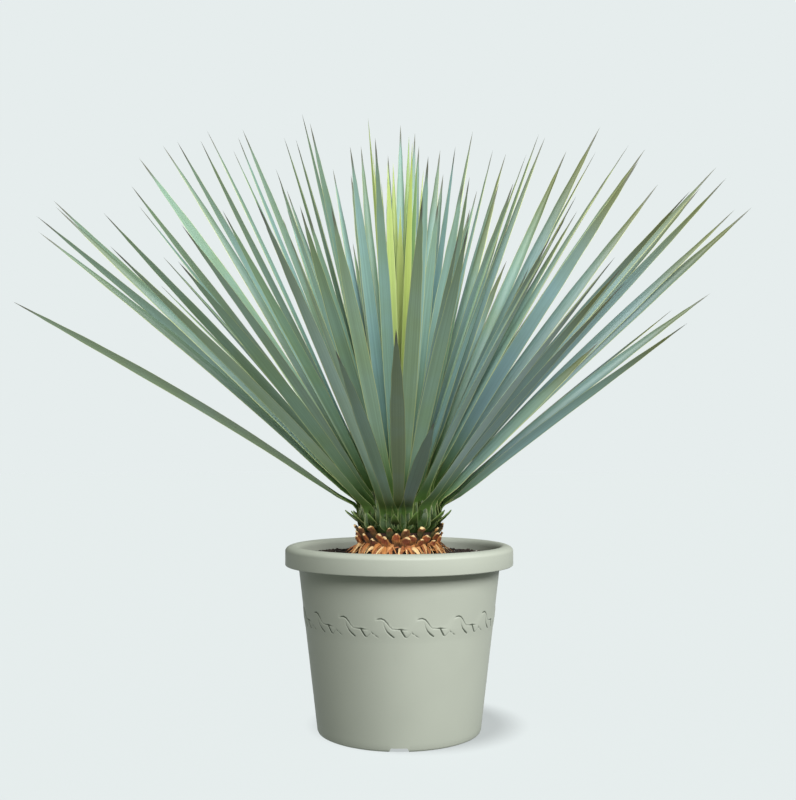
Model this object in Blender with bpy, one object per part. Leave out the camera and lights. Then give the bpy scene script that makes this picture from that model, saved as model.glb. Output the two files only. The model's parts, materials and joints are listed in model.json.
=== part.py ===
"""Potted yucca: a plastic pot with a moulded leaf band, soil, a stub-covered stem and stiff blades.

Run it with  blender --background --python part.py  or from Blender's text editor.
Metres, +Z up. The origin is on the pot's axis, at the level of the surface that the pot stands on.
"""

import math
import random
from collections import namedtuple

import bmesh
import bpy
from mathutils import Matrix, Vector

# Pot wall, a straight taper
WALL_THICKNESS = 0.0035
WALL_FOOT_RADIUS = 0.1077
WALL_TAPER = 0.1147
FOOT_RADIUS = 0.105
FOOT_RING_WIDTH = 0.005
FOOT_DRAFT = 0.0015
FLOOR_UNDERSIDE = 0.006
FLOOR_TOP = 0.0095
EDGE_ROUND = 0.001

# Pot rim, rolled over and open underneath
POT_HEIGHT = 0.244
RIM_RADIUS = 0.150
RIM_CREST_RADIUS = 0.139
RIM_EDGE = 0.218
RIM_SHOULDER = 0.237
RIM_HOLLOW_TOP = 0.231
INNER_LIP = 0.236

# Openings in the foot ring and the floor
NOTCHES = 4
NOTCH_WIDTH = 0.027
NOTCH_TOP_WIDTH = 0.020
NOTCH_HEIGHT = 0.005
NOTCH_REACH = (-0.116, -0.092)
CUT_PAST = 0.002
DRAIN_HOLES = 6
DRAIN_RADIUS = 0.006
DRAIN_CIRCLE = 0.070

# Raised band of running leaves
BAND_UNITS = 16
BAND_START = math.radians(-100.5)
BAND_FOOT = 0.134
BAND_TOP = 0.170
BAND_LIFT = 0.0016
BAND_ROWS = 5
COLUMNS = 48
BAND_COLUMNS = 144

# Soil, with the height of its lumps and their waves in radians a metre; it lies level under the stubs
SOIL_TOP = 0.2280
SOIL_LUMP = 0.0018
SOIL_CROSS_WAVE = (91, 77)
SOIL_SLANT_WAVE = (211, -160)
SOIL_LEVEL = (0.060, 0.085)
GAP = 0.0004

# Stem and its stubs
STEM_FOOT = 0.150
STEM_TOP = 0.262
STEM_RADIUS = 0.050
STEM_CHAMFER = 0.004
STEM_COLUMNS = 24
STUB_SEED = 11
StubRow = namedtuple("StubRow", "count height lift length width curl")
STUB_ROWS = (
    StubRow(18, 0.2420, -20, 0.0175, 0.0150, 0.0045),
    StubRow(15, 0.2430, 62, 0.0150, 0.0145, 0.0),
    StubRow(15, 0.2500, 60, 0.0155, 0.0145, 0.0),
    StubRow(15, 0.2570, 56, 0.0160, 0.0135, 0.0),
)
# A stub's loops: how far out, how wide and how deep, as shares of its sizes
STUB_LOOPS = ((-1.0, 1.0, 1.2), (0.55, 0.95, 1.0), (1.0, 0.62, 0.75))
STUB_THICKNESS = 0.0036
STUB_CROWN = 0.8
STUB_ROOT = 0.008
STUB_WANDER = 0.12
STUB_TILT = 5.0
STUB_STRETCH = (0.86, 1.06)

# Crown that the leaves grow on, as radius and height from its foot to its flat top
CROWN_PROFILE = (
    (0.0470, 0.2624),
    (0.0520, 0.2710),
    (0.0530, 0.2850),
    (0.0500, 0.3020),
    (0.0425, 0.3180),
    (0.0300, 0.3310),
    (0.0160, 0.3380),
)
CROWN_RADIUS = 0.053
CROWN_WAIST = 0.278
CROWN_RISE = 0.060
CROWN_COLUMNS = 19

# Where the fan of outline leaves is laid out from: a point in the crown, seen from in front
FAN_CENTRE = Vector((0.0, 0.0, 0.290))
EYE = Vector((0.0, -1.30, 0.354))

# Outline leaves as seen from in front: lean from upright in degrees (left is negative), reach in metres,
# how far behind the pot's axis the tip lies, and how far the blade is rolled to face the viewer, in degrees
LEFT_FAN = (
    (-61.7, 0.582, 0.01, 34), (-52.4, 0.603, -0.07, -50), (-51.0, 0.618, 0.02, 60),
    (-48.6, 0.607, -0.12, -58), (-48.2, 0.615, 0.01, 50), (-44.9, 0.555, 0.05, 60),
    (-40.6, 0.530, -0.16, -50), (-39.6, 0.557, 0.12, 42), (-36.5, 0.580, -0.05, 66),
    (-33.0, 0.576, 0.06, -42), (-31.1, 0.570, -0.10, 40), (-28.3, 0.555, 0.15, 66),
    (-26.9, 0.563, -0.06, -22), (-24.8, 0.525, 0.20, 38), (-23.4, 0.538, -0.14, -36),
    (-22.4, 0.545, 0.08, 64), (-19.9, 0.480, -0.20, -16), (-17.2, 0.516, 0.14, 60),
    (-15.6, 0.510, -0.16, -42), (-13.8, 0.540, 0.10, 66), (-13.0, 0.526, -0.15, -18),
    (-11.0, 0.460, 0.24, 24), (-7.7, 0.486, -0.18, -20), (-6.0, 0.485, 0.16, 30),
    (-3.7, 0.494, -0.22, 12), (-1.8, 0.470, 0.22, -10), (-1.0, 0.240, -0.43, 4),
    (-21.8, 0.228, -0.38, 8),
)
RIGHT_FAN = (
    (0.2, 0.510, 0.16, 10), (2.4, 0.500, 0.14, -14), (3.1, 0.483, 0.20, 20),
    (4.7, 0.470, -0.24, -12), (6.5, 0.480, 0.15, 26), (8.8, 0.487, -0.15, 40),
    (11.0, 0.511, 0.12, -16), (14.6, 0.493, -0.12, 50), (16.7, 0.493, 0.18, -36),
    (19.7, 0.500, -0.18, 60), (20.4, 0.531, 0.10, -22), (21.4, 0.530, -0.06, 46),
    (25.0, 0.525, 0.16, 60), (27.7, 0.573, -0.04, 62), (28.8, 0.541, 0.14, -40),
    (32.2, 0.571, 0.06, -20), (32.0, 0.524, -0.16, 60), (34.3, 0.578, 0.12, 50),
    (34.5, 0.560, -0.08, -60), (38.5, 0.551, 0.04, 56), (42.4, 0.572, -0.10, -42),
    (43.1, 0.585, 0.11, 60), (42.8, 0.619, -0.02, 68), (44.6, 0.617, 0.05, -62),
    (48.2, 0.597, 0.10, 62), (49.4, 0.615, 0.12, 60), (55.2, 0.502, 0.08, 66),
    (57.1, 0.455, 0.02, -62), (28.2, 0.365, -0.10, 30), (50.0, 0.345, -0.05, 50),
    (21.8, 0.125, -0.27, 6),
)
FAN_SEED = 5

# Inner leaves, on a golden-angle spiral round the crown
SPIRAL_LEAVES = 90
SPIRAL_SEED = 31
GOLDEN_ANGLE = math.radians(137.508)
SPIRAL_TOP = 30.0
SPIRAL_BOTTOM = 86.0
SPIRAL_LEAN = (15.0, 57.0)
SPIRAL_LENGTH = (0.54, 0.58)
SIDE_SECTOR = 27.0
SIDE_LEAN = 24.0
LEAN_WANDER = 3.5
AZIMUTH_WANDER = 0.10
SHORTEST = 0.88
FURTHEST_IN = 0.84
SPIRAL_ROLL = 30

# Seen from in front, the young leaves show through a gap in the inner leaves before them, in degrees of lean
HEART_GAP = (-12.0, 3.2)

# How far the inner leaves may reach as seen from in front, upright and at a wide lean
INNER_REACH = (0.470, 0.575)
WIDE_LEAN = 55.0

# How far any of them may reach before or behind the pot's axis
DEEPEST = 0.435

# Blades
BLADE_WIDTH = 0.0172
BLADE_KEEL = 0.15
BLADE_THINNEST = 0.0010
BLADE_ROOT = 0.016
BLADE_STATIONS = (0.0, 0.10, 0.22, 0.45, 0.75, 1.0)
WIDTH_PROFILE = (
    (0.00, 1.45), (0.04, 1.30), (0.09, 0.80), (0.20, 0.86), (0.42, 1.00),
    (0.62, 0.90), (0.80, 0.62), (0.92, 0.32), (1.00, 0.06),
)

# A blade leaves the crown steeper than it ends, by these shares of its lean, and is rolled past its neck
BLADE_RISE = 0.10
BLADE_SETTLE = 0.04
BLADE_NECK = (0.02, 0.22)
BLADE_TWIST = 22
BLADE_SPREAD = (0.86, 1.10)

# Green leaf bases at the foot of the head, cut short
GREEN_ROWS = (
    StubRow(16, 0.2720, 60, 0.0150, 0.0160, 0.0),
    StubRow(13, 0.2760, 27, 0.0210, 0.0120, 0.0),
)

# Young leaves at the heart
HEART_LEAVES = 13
HEART_SEED = 31
HEART_FOOT = 0.3384
HEART_TOP = 0.365
HEART_RADIUS = 0.0130
HEART_ROOTS = 0.60
HEART_SUNK = 0.004
HEART_LEAN = 5.0
HEART_REACH = (0.30, 0.47)
HEART_WIDTH = 0.0120
HEART_SPREAD = (0.85, 1.1)
HEART_BOW = 0.5
HEART_TWIST = 25
# Rings of the short core that the young leaves grow on: shares of its radius and of its height
HEART_CORE = ((1.0, 0.0), (0.95, 0.55), (0.40, 1.0))
HEART_COLUMNS = 12

# Colours and roughness
SAGE_PLASTIC = ((0.42, 0.47, 0.39), 0.55)
DARK_SOIL = ((0.022, 0.015, 0.011), 0.95)
DRY_STUB = ((0.48, 0.22, 0.10), 0.80)
BLUE_GREEN = ((0.13, 0.27, 0.19), 0.48)
YELLOW_GREEN = ((0.42, 0.58, 0.16), 0.45)

Leaf = namedtuple("Leaf", "root tip rise settle width roll twist")


def clear_scene():
    for item in list(bpy.data.objects):
        bpy.data.objects.remove(item, do_unlink=True)


def finish_material(name, finish):
    colour, roughness = finish
    material = bpy.data.materials.new(name)
    material.use_nodes = True
    shader = material.node_tree.nodes["Principled BSDF"]
    shader.inputs["Base Color"].default_value = (*colour, 1.0)
    shader.inputs["Roughness"].default_value = roughness
    shader.inputs["Metallic"].default_value = 0.0
    return material


def mesh_object(name, vertices, faces, collection=None):
    mesh = bpy.data.meshes.new(name)
    mesh.from_pydata(vertices, [], faces)
    part = bpy.data.objects.new(name, mesh)
    (collection or bpy.context.scene.collection).objects.link(part)
    return part


def face_outward(part):
    work = bmesh.new()
    work.from_mesh(part.data)
    bmesh.ops.recalc_face_normals(work, faces=work.faces)
    if work.calc_volume(signed=True) < 0:
        bmesh.ops.reverse_faces(work, faces=work.faces)
    work.to_mesh(part.data)
    work.free()


def apply_modifiers(part):
    graph = bpy.context.evaluated_depsgraph_get()
    solid = bpy.data.meshes.new_from_object(part.evaluated_get(graph))
    part.modifiers.clear()
    part.data = solid


# Turned pieces


def ring(radius, height, columns):
    """One ring of points; radius is a number or a function of the angle."""
    points = []
    for column in range(columns):
        angle = 2 * math.pi * column / columns
        reach = radius(angle) if callable(radius) else radius
        points.append((reach * math.cos(angle), reach * math.sin(angle), height))
    return points


def bridge(lower, upper):
    """Triangles between two rings, where one may have a whole multiple of the other's points."""
    if len(lower) > len(upper):
        return [tuple(reversed(face)) for face in bridge(upper, lower)]
    ratio = len(upper) // len(lower)
    faces = []
    for column, here in enumerate(lower):
        following = lower[(column + 1) % len(lower)]
        first = column * ratio
        middle = first + ratio // 2
        for step in range(first, first + ratio):
            near = here if step < max(middle, first + 1) else following
            faces.append((near, upper[(step + 1) % len(upper)], upper[step]))
        faces.append((here, following, upper[max(middle, first + 1) % len(upper)]))
    return faces


def turned(name, rings):
    """A closed turned solid through rings, with a fan of triangles on the first and the last."""
    vertices = []
    loops = []
    faces = []
    for points in rings:
        loops.append(list(range(len(vertices), len(vertices) + len(points))))
        vertices.extend(points)
    for lower, upper in zip(loops, loops[1:]):
        faces.extend(bridge(lower, upper))
    for loop in (loops[0], loops[-1]):
        pole = len(vertices)
        vertices.append((0.0, 0.0, vertices[loop[0]][2]))
        for here, following in zip(loop, loop[1:] + loop[:1]):
            faces.append((pole, here, following))
    part = mesh_object(name, vertices, faces)
    face_outward(part)
    return part


def arc(centre, radii, start, stop, steps):
    """Points on an ellipse in the profile plane, angles in degrees from outward to up."""
    points = []
    for step in range(steps + 1):
        angle = math.radians(start + (stop - start) * step / steps)
        points.append((centre[0] + radii[0] * math.cos(angle), centre[1] + radii[1] * math.sin(angle)))
    return points


# Pot


def wall_radius(height):
    return WALL_FOOT_RADIUS + WALL_TAPER * height


def smooth(low, high, value):
    share = min(1.0, max(0.0, (value - low) / (high - low)))
    return share * share * (3 - 2 * share)


def leaf_edge(along):
    """Height of one leaf's upper edge within the band, from 0 to 1, along its unit from 0 to 1."""
    fall = 0.90 - 0.46 * smooth(0.06, 0.34, along)
    return fall + 0.46 * smooth(0.84, 1.0, along)


def groove(along, up, start, end, width):
    """How deep, from 0 to 1, the point lies in a groove cut from start to end."""
    run = (end[0] - start[0], end[1] - start[1])
    share = ((along - start[0]) * run[0] + (up - start[1]) * run[1]) / (run[0] ** 2 + run[1] ** 2)
    share = min(1.0, max(0.0, share))
    off = math.hypot(along - start[0] - share * run[0], up - start[1] - share * run[1])
    return 1.0 - smooth(0.3 * width, width, off)


def band_relief(angle, height):
    """How far the running leaves stand out of the wall."""
    along = ((angle - BAND_START) * BAND_UNITS / (2 * math.pi)) % 1.0
    up = (height - BAND_FOOT) / (BAND_TOP - BAND_FOOT)
    body = 1.0 - smooth(-0.10, 0.10, up - leaf_edge(along))
    body *= smooth(0.0, 0.14, up - 0.10 + 0.10 * along)
    vein = max(
        groove(along, up, (0.10, 0.64), (0.32, 0.18), 0.08),
        groove(along, up, (0.52, 0.44), (0.64, 0.16), 0.08),
    )
    return BAND_LIFT * body * (1.0 - vein)


def band_ring(height):
    return ring(lambda angle: wall_radius(height) + band_relief(angle, height), height, BAND_COLUMNS)


def pot_rings():
    """The pot's profile: its underside, foot ring, wall and band, then over the rim and down inside."""
    bore = FOOT_RADIUS - FOOT_RING_WIDTH
    profile = [(bore - FOOT_DRAFT, FLOOR_UNDERSIDE), (bore, 0.0), (FOOT_RADIUS, 0.0)]
    profile.append((WALL_FOOT_RADIUS - EDGE_ROUND / 2, EDGE_ROUND))
    profile.append((wall_radius(3 * EDGE_ROUND), 3 * EDGE_ROUND))
    rings = [ring(radius, height, COLUMNS) for radius, height in profile]
    for row in range(BAND_ROWS + 1):
        rings.append(band_ring(BAND_FOOT + (BAND_TOP - BAND_FOOT) * row / BAND_ROWS))
    hollow = RIM_RADIUS - WALL_THICKNESS
    profile = [(wall_radius(RIM_EDGE), RIM_EDGE), (wall_radius(RIM_HOLLOW_TOP), RIM_HOLLOW_TOP)]
    profile += [(hollow, RIM_HOLLOW_TOP), (hollow, RIM_EDGE + EDGE_ROUND), (hollow + EDGE_ROUND, RIM_EDGE)]
    profile += [(RIM_RADIUS - EDGE_ROUND, RIM_EDGE), (RIM_RADIUS, RIM_EDGE + 1.5 * EDGE_ROUND)]
    crest_drop = POT_HEIGHT - RIM_SHOULDER
    centre = (RIM_CREST_RADIUS, RIM_SHOULDER)
    profile += arc(centre, (RIM_RADIUS - RIM_CREST_RADIUS, crest_drop), 0, 90, 3)
    lip = wall_radius(INNER_LIP) - WALL_THICKNESS
    centre = (RIM_CREST_RADIUS, INNER_LIP)
    profile += arc(centre, (RIM_CREST_RADIUS - lip, POT_HEIGHT - INNER_LIP), 90, 180, 2)[1:]
    profile += [(wall_radius(FLOOR_TOP) - WALL_THICKNESS, FLOOR_TOP)]
    return rings + [ring(radius, height, COLUMNS) for radius, height in profile]


def prism(cutters, name, outline, reach, turn):
    """An upright outline in the XZ plane, drawn out along Y by reach, then turned about Z."""
    count = len(outline)
    vertices = [Vector((x, y, z)) for y in reach for x, z in outline]
    vertices = [Matrix.Rotation(turn, 3, "Z") @ point for point in vertices]
    faces = [tuple(range(count)), tuple(reversed(range(count, 2 * count)))]
    for side in range(count):
        after = (side + 1) % count
        faces.append((side, after, after + count, side + count))
    part = mesh_object(name, vertices, faces, cutters)
    face_outward(part)


def pot_cutters():
    """The notches in the foot ring and the drainage holes, in a collection of their own."""
    cutters = bpy.data.collections.new("pot_cutters")
    outline = [(-NOTCH_WIDTH / 2, -CUT_PAST), (NOTCH_WIDTH / 2, -CUT_PAST)]
    outline += [(NOTCH_TOP_WIDTH / 2, NOTCH_HEIGHT), (-NOTCH_TOP_WIDTH / 2, NOTCH_HEIGHT)]
    for notch in range(NOTCHES):
        turn = 2 * math.pi * notch / NOTCHES
        prism(cutters, f"notch_{notch}", outline, NOTCH_REACH, turn)
    sides = 8
    for hole in range(DRAIN_HOLES):
        turn = 2 * math.pi * (hole + 0.5) / DRAIN_HOLES
        centre = Vector((DRAIN_CIRCLE * math.cos(turn), DRAIN_CIRCLE * math.sin(turn), 0.0))
        work = bmesh.new()
        place = Matrix.Translation(centre + Vector((0.0, 0.0, FLOOR_TOP / 2)))
        bmesh.ops.create_cone(
            work, cap_ends=True, segments=sides, radius1=DRAIN_RADIUS, radius2=DRAIN_RADIUS,
            depth=2 * FLOOR_TOP, matrix=place,
        )
        mesh = bpy.data.meshes.new(f"drain_{hole}")
        work.to_mesh(mesh)
        work.free()
        cutters.objects.link(bpy.data.objects.new(f"drain_{hole}", mesh))
    return cutters


def combine(part, others, operation, solver):
    """One Boolean with a whole collection, applied, with the collection's objects then removed."""
    bpy.context.scene.collection.children.link(others)
    boolean = part.modifiers.new("combine", "BOOLEAN")
    boolean.operation = operation
    boolean.solver = solver
    boolean.operand_type = "COLLECTION"
    boolean.collection = others
    apply_modifiers(part)
    for item in list(others.objects):
        bpy.data.objects.remove(item, do_unlink=True)
    bpy.data.collections.remove(others)


def make_pot():
    pot = turned("pot", pot_rings())
    combine(pot, pot_cutters(), "DIFFERENCE", "EXACT")
    return pot


# Soil


def soil_height(x, y):
    """The crumbly top of the soil, kept level close to the stem where the stubs lie over it."""
    lumps = math.cos(SOIL_CROSS_WAVE[0] * x) * math.sin(SOIL_CROSS_WAVE[1] * y)
    lumps += 0.6 * math.sin(SOIL_SLANT_WAVE[0] * x + SOIL_SLANT_WAVE[1] * y)
    return SOIL_TOP + SOIL_LUMP * lumps * smooth(*SOIL_LEVEL, math.hypot(x, y))


def make_soil():
    rings = [ring(wall_radius(FLOOR_TOP) - WALL_THICKNESS - 2 * GAP, FLOOR_TOP + GAP, COLUMNS)]
    edge = wall_radius(SOIL_TOP) - WALL_THICKNESS - 2 * GAP
    hole = STEM_RADIUS + GAP
    steps = 6
    for step in range(steps + 1):
        radius = edge + (hole - edge) * step / steps
        columns = COLUMNS if step < steps else STEM_COLUMNS
        level = ring(radius, 0.0, columns)
        rings.append([(x, y, SOIL_TOP if step == 0 else soil_height(x, y)) for x, y, _ in level])
    rings.append(ring(hole, STEM_FOOT - GAP, STEM_COLUMNS))
    return turned("soil", rings)


# Stem and its stubs


def outward_halves(vertices, corners):
    """A twisted four-sided face as two triangles that meet on its outward diagonal."""
    first, second, third, fourth = corners
    start = vertices[first]
    normal = (vertices[second] - start).cross(vertices[third] - start)
    if normal.dot(vertices[fourth] - start) > 0:
        return [(first, second, fourth), (second, third, fourth)]
    return [(first, second, third), (first, third, fourth)]


def rod(name, vertices, sides, collection):
    """A closed rod through equal loops of points, anticlockwise as seen from its far end.

    A single point after the last loop makes the end a point.
    """
    rows, pointed = divmod(len(vertices), sides)
    faces = []
    for row in range(rows - 1):
        for side in range(sides):
            after = (side + 1) % sides
            here = row * sides
            above = here + sides
            faces += outward_halves(vertices, (here + side, here + after, above + after, above + side))
    faces.append(tuple(reversed(range(sides))))
    last = range((rows - 1) * sides, rows * sides)
    if pointed:
        faces += [(here, after, rows * sides) for here, after in zip(last, [*last[1:], last[0]])]
    else:
        faces.append(tuple(last))
    part = mesh_object(name, vertices, faces, collection)
    face_outward(part)
    return part


def stub_points(row, radius, angle, tilt, stretch):
    """Loops of a flat scale: wide where it leaves what it grew on, blunt where it was cut."""
    outward = Vector((math.cos(angle), math.sin(angle), 0.0))
    side = Vector((-math.sin(angle), math.cos(angle), 0.0))
    lift = math.radians(row.lift + tilt)
    along = outward * math.cos(lift) + Vector((0.0, 0.0, math.sin(lift)))
    thick = along.cross(side)
    start = outward * radius + Vector((0.0, 0.0, row.height))
    points = []
    loops = STUB_LOOPS if row.curl else STUB_LOOPS[::2]
    for reach, wide, deep in loops:
        distance = reach * STUB_ROOT if reach < 0 else reach * row.length * stretch
        centre = start + along * distance - Vector((0.0, 0.0, row.curl * max(0.0, reach) ** 2))
        half = 0.5 * row.width * wide
        crown = STUB_CROWN * half
        depth = 0.5 * STUB_THICKNESS * deep
        for across, up in ((-half, -depth), (half, -depth), (crown, depth), (-crown, depth)):
            points.append(centre + side * across + thick * up)
    return points


def add_stub_rows(rows, radius, collection):
    """Rows of stubs round a stem of this radius, each row set half a step on from the last."""
    draw = random.Random(STUB_SEED)
    for level, row in enumerate(rows):
        for number in range(row.count):
            steps = number + 0.5 * (level % 2) + draw.uniform(-STUB_WANDER, STUB_WANDER)
            angle = 2 * math.pi * steps / row.count
            tilt = draw.uniform(-STUB_TILT, STUB_TILT)
            points = stub_points(row, radius, angle, tilt, draw.uniform(*STUB_STRETCH))
            rod(f"stub_{level}_{number}", points, 4, collection)


def make_stem():
    stem = turned(
        "stem",
        [
            ring(STEM_RADIUS - STEM_CHAMFER, STEM_FOOT, STEM_COLUMNS),
            ring(STEM_RADIUS, STEM_FOOT + 2 * STEM_CHAMFER, STEM_COLUMNS),
            ring(STEM_RADIUS, STEM_TOP - STEM_CHAMFER, STEM_COLUMNS),
            ring(STEM_RADIUS - STEM_CHAMFER, STEM_TOP, STEM_COLUMNS),
        ],
    )
    stubs = bpy.data.collections.new("stubs")
    add_stub_rows(STUB_ROWS, STEM_RADIUS, stubs)
    combine(stem, stubs, "UNION", "MANIFOLD")
    keep_one_body(stem)
    return stem


# Leaves


def profile_value(profile, place):
    for (low, first), (high, second) in zip(profile, profile[1:]):
        if place <= high:
            return first + (second - first) * smooth(low, high, place)
    return profile[-1][1]


def centre_line(leaf, place):
    """A cubic curve that starts steeper than the straight line to the tip, and settles on the way."""
    chord = leaf.tip - leaf.root
    level = Vector((chord.x, chord.y, 0.0))
    hinge = level.cross(Vector((0.0, 0.0, 1.0))).normalized()
    first = Matrix.Rotation(math.radians(leaf.rise), 3, hinge) @ chord / 3
    last = Matrix.Rotation(math.radians(-leaf.settle), 3, hinge) @ chord / 3
    near = leaf.root + first
    far = leaf.tip - last
    back = 1 - place
    return (
        leaf.root * back**3 + near * (3 * back * back * place)
        + far * (3 * back * place * place) + leaf.tip * place**3
    )


def blade_frame(leaf, place):
    """Centre, side and upper directions of a blade at a place from 0, its root, to 1, its tip."""
    step = 0.01
    centre = centre_line(leaf, place)
    before = centre_line(leaf, max(0.0, place - step))
    along = (centre_line(leaf, min(1.0, place + step)) - before).normalized()
    chord = leaf.tip - leaf.root
    side = Vector((-chord.y, chord.x, 0.0)).normalized()
    side = (side - along * side.dot(along)).normalized()
    turn = leaf.roll * smooth(*BLADE_NECK, place) + leaf.twist * place
    side = Matrix.Rotation(math.radians(turn), 3, along) @ side
    return centre, side, along.cross(side)


def blade_points(leaf):
    """Three-cornered loops of a blade, flat above and keeled below."""
    points = []
    for place in BLADE_STATIONS[:-1]:
        centre, side, under = blade_frame(leaf, place)
        half = 0.5 * leaf.width * profile_value(WIDTH_PROFILE, place)
        keel = max(BLADE_THINNEST, 2 * half * BLADE_KEEL)
        points += [centre - side * half, centre + side * half, centre + under * keel]
    points.append(leaf.tip)
    return points


def add_blade(name, leaf, collection):
    return rod(name, blade_points(leaf), 3, collection)


def between(span, share):
    return span[0] + (span[1] - span[0]) * share


def heading(lean, azimuth):
    """A direction that leans from upright by this many degrees, towards this azimuth in radians."""
    tilt = math.radians(lean)
    outward = Vector((math.cos(azimuth), math.sin(azimuth), 0.0))
    return outward * math.sin(tilt) + Vector((0.0, 0.0, math.cos(tilt)))


def root_on_crown(direction):
    """Where a leaf that heads this way leaves the crown, set back inside it by the root's length."""
    lean = math.degrees(math.atan2(math.hypot(direction.x, direction.y), direction.z))
    low, high = SPIRAL_LEAN
    share = min(1.0, max(0.0, (lean - low) / (high - low)))
    polar = math.radians(between((SPIRAL_TOP, SPIRAL_BOTTOM), share))
    azimuth = math.atan2(direction.y, direction.x)
    radius = CROWN_RADIUS * math.sin(polar)
    height = CROWN_WAIST + CROWN_RISE * math.cos(polar)
    surface = Vector((radius * math.cos(azimuth), radius * math.sin(azimuth), height))
    return surface - direction.normalized() * BLADE_ROOT


def leaf_to(tip, draw, roll):
    """A leaf from the crown to this tip, its width, bow and twist drawn at random."""
    root = root_on_crown(tip - FAN_CENTRE)
    chord = tip - root
    lean = math.degrees(math.atan2(math.hypot(chord.x, chord.y), chord.z))
    rise = BLADE_RISE * lean + draw.uniform(-1.5, 2.0)
    settle = BLADE_SETTLE * lean + draw.uniform(-2.0, 2.0)
    width = BLADE_WIDTH * draw.uniform(*BLADE_SPREAD)
    return Leaf(root, tip, rise, settle, width, roll, draw.uniform(-BLADE_TWIST, BLADE_TWIST))


def fan_leaves():
    """The leaves that draw the outline seen from in front."""
    draw = random.Random(FAN_SEED)
    leaves = []
    for lean, reach, depth, facing in LEFT_FAN + RIGHT_FAN:
        turn = math.radians(lean)
        seen = FAN_CENTRE + reach * Vector((math.sin(turn), 0.0, math.cos(turn)))
        tip = EYE + (seen - EYE) * (1.0 - depth / EYE.y)
        aside = abs(math.sin(math.atan2(tip.x, tip.y)))
        leaves.append(leaf_to(tip, draw, facing * aside))
    return leaves


def as_seen(tip):
    """Lean in degrees and reach of a tip, as seen from in front."""
    seen = EYE + (tip - EYE) * (EYE.y / (EYE.y - tip.y)) - FAN_CENTRE
    return math.degrees(math.atan2(seen.x, seen.z)), seen.length


def hold_inside(tip, share):
    """Draws a tip in until, seen from in front, it stays a share inside the outline leaves."""
    for _ in range(4):
        lean, reach = as_seen(tip)
        allowed = share * between(INNER_REACH, (lean / WIDE_LEAN) ** 2)
        if reach > allowed:
            tip = FAN_CENTRE + (tip - FAN_CENTRE) * (allowed / reach)
    if abs(tip.y) > DEEPEST:
        tip = FAN_CENTRE + (tip - FAN_CENTRE) * (DEEPEST / abs(tip.y))
    return tip


def spiral_leaves():
    """The rest of the mature leaves, all round the crown, between the outline leaves."""
    draw = random.Random(SPIRAL_SEED)
    leaves = []
    top = math.cos(math.radians(SPIRAL_TOP))
    bottom = math.cos(math.radians(SPIRAL_BOTTOM))
    for number in range(SPIRAL_LEAVES):
        share = (number + 0.5) / SPIRAL_LEAVES
        polar = math.degrees(math.acos(top + (bottom - top) * share))
        along = (polar - SPIRAL_TOP) / (SPIRAL_BOTTOM - SPIRAL_TOP)
        lean = between(SPIRAL_LEAN, along) + draw.uniform(-LEAN_WANDER, LEAN_WANDER)
        azimuth = number * GOLDEN_ANGLE + draw.uniform(-AZIMUTH_WANDER, AZIMUTH_WANDER)
        length = between(SPIRAL_LENGTH, along) * draw.uniform(SHORTEST, 1.0)
        inside = draw.uniform(FURTHEST_IN, 1.0)
        roll = draw.uniform(-SPIRAL_ROLL, SPIRAL_ROLL)
        aside = math.degrees(math.asin(abs(math.sin(azimuth))))
        if aside < SIDE_SECTOR and lean > SIDE_LEAN:
            continue
        tip = hold_inside(FAN_CENTRE + heading(lean, azimuth) * length, inside)
        if tip.y > 0 or not HEART_GAP[0] < as_seen(tip)[0] < HEART_GAP[1]:
            leaves.append(leaf_to(tip, draw, roll))
    return leaves


def keep_one_body(part):
    """Drops sealed hollows and loose scraps that joining leaves, and keeps the one outer body."""
    work = bmesh.new()
    work.from_mesh(part.data)
    work.verts.ensure_lookup_table()
    waiting = set(work.verts)
    bodies = []
    while waiting:
        body = set()
        edge = [waiting.pop()]
        while edge:
            vertex = edge.pop()
            body.add(vertex)
            for link in vertex.link_edges:
                other = link.other_vert(vertex)
                if other in waiting:
                    waiting.remove(other)
                    edge.append(other)
        bodies.append(body)
    bodies.sort(key=len)
    for scrap in bodies[:-1]:
        bmesh.ops.delete(work, geom=list(scrap), context="VERTS")
    work.to_mesh(part.data)
    work.free()


def make_leaf_head():
    head = turned("leaf_head", [ring(radius, height, CROWN_COLUMNS) for radius, height in CROWN_PROFILE])
    blades = bpy.data.collections.new("blades")
    for number, leaf in enumerate(fan_leaves() + spiral_leaves()):
        add_blade(f"blade_{number}", leaf, blades)
    add_stub_rows(GREEN_ROWS, CROWN_RADIUS, blades)
    combine(head, blades, "UNION", "MANIFOLD")
    keep_one_body(head)
    return head


def heart_leaf_list():
    draw = random.Random(HEART_SEED)
    leaves = []
    for number in range(HEART_LEAVES):
        share = (number + 0.5) / HEART_LEAVES
        azimuth = number * GOLDEN_ANGLE
        out = math.sqrt(share)
        reach = between(HEART_REACH, out) * draw.uniform(0.90, 1.0)
        root = heading(90.0, azimuth) * (HEART_ROOTS * HEART_RADIUS * out)
        root.z = HEART_FOOT + HEART_SUNK
        tip = root + reach * heading(HEART_LEAN * out, azimuth)
        width = HEART_WIDTH * draw.uniform(*HEART_SPREAD)
        twist = draw.uniform(-HEART_TWIST, HEART_TWIST)
        leaves.append(Leaf(root, tip, HEART_BOW, HEART_BOW, width, 0.0, twist))
    return leaves


def make_heart_leaves():
    rings = []
    for out, up in HEART_CORE:
        rings.append(ring(out * HEART_RADIUS, between((HEART_FOOT, HEART_TOP), up), HEART_COLUMNS))
    heart = turned("heart_leaves", rings)
    spears = bpy.data.collections.new("spears")
    for number, leaf in enumerate(heart_leaf_list()):
        add_blade(f"spear_{number}", leaf, spears)
    combine(heart, spears, "UNION", "MANIFOLD")
    keep_one_body(heart)
    return heart


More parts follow.
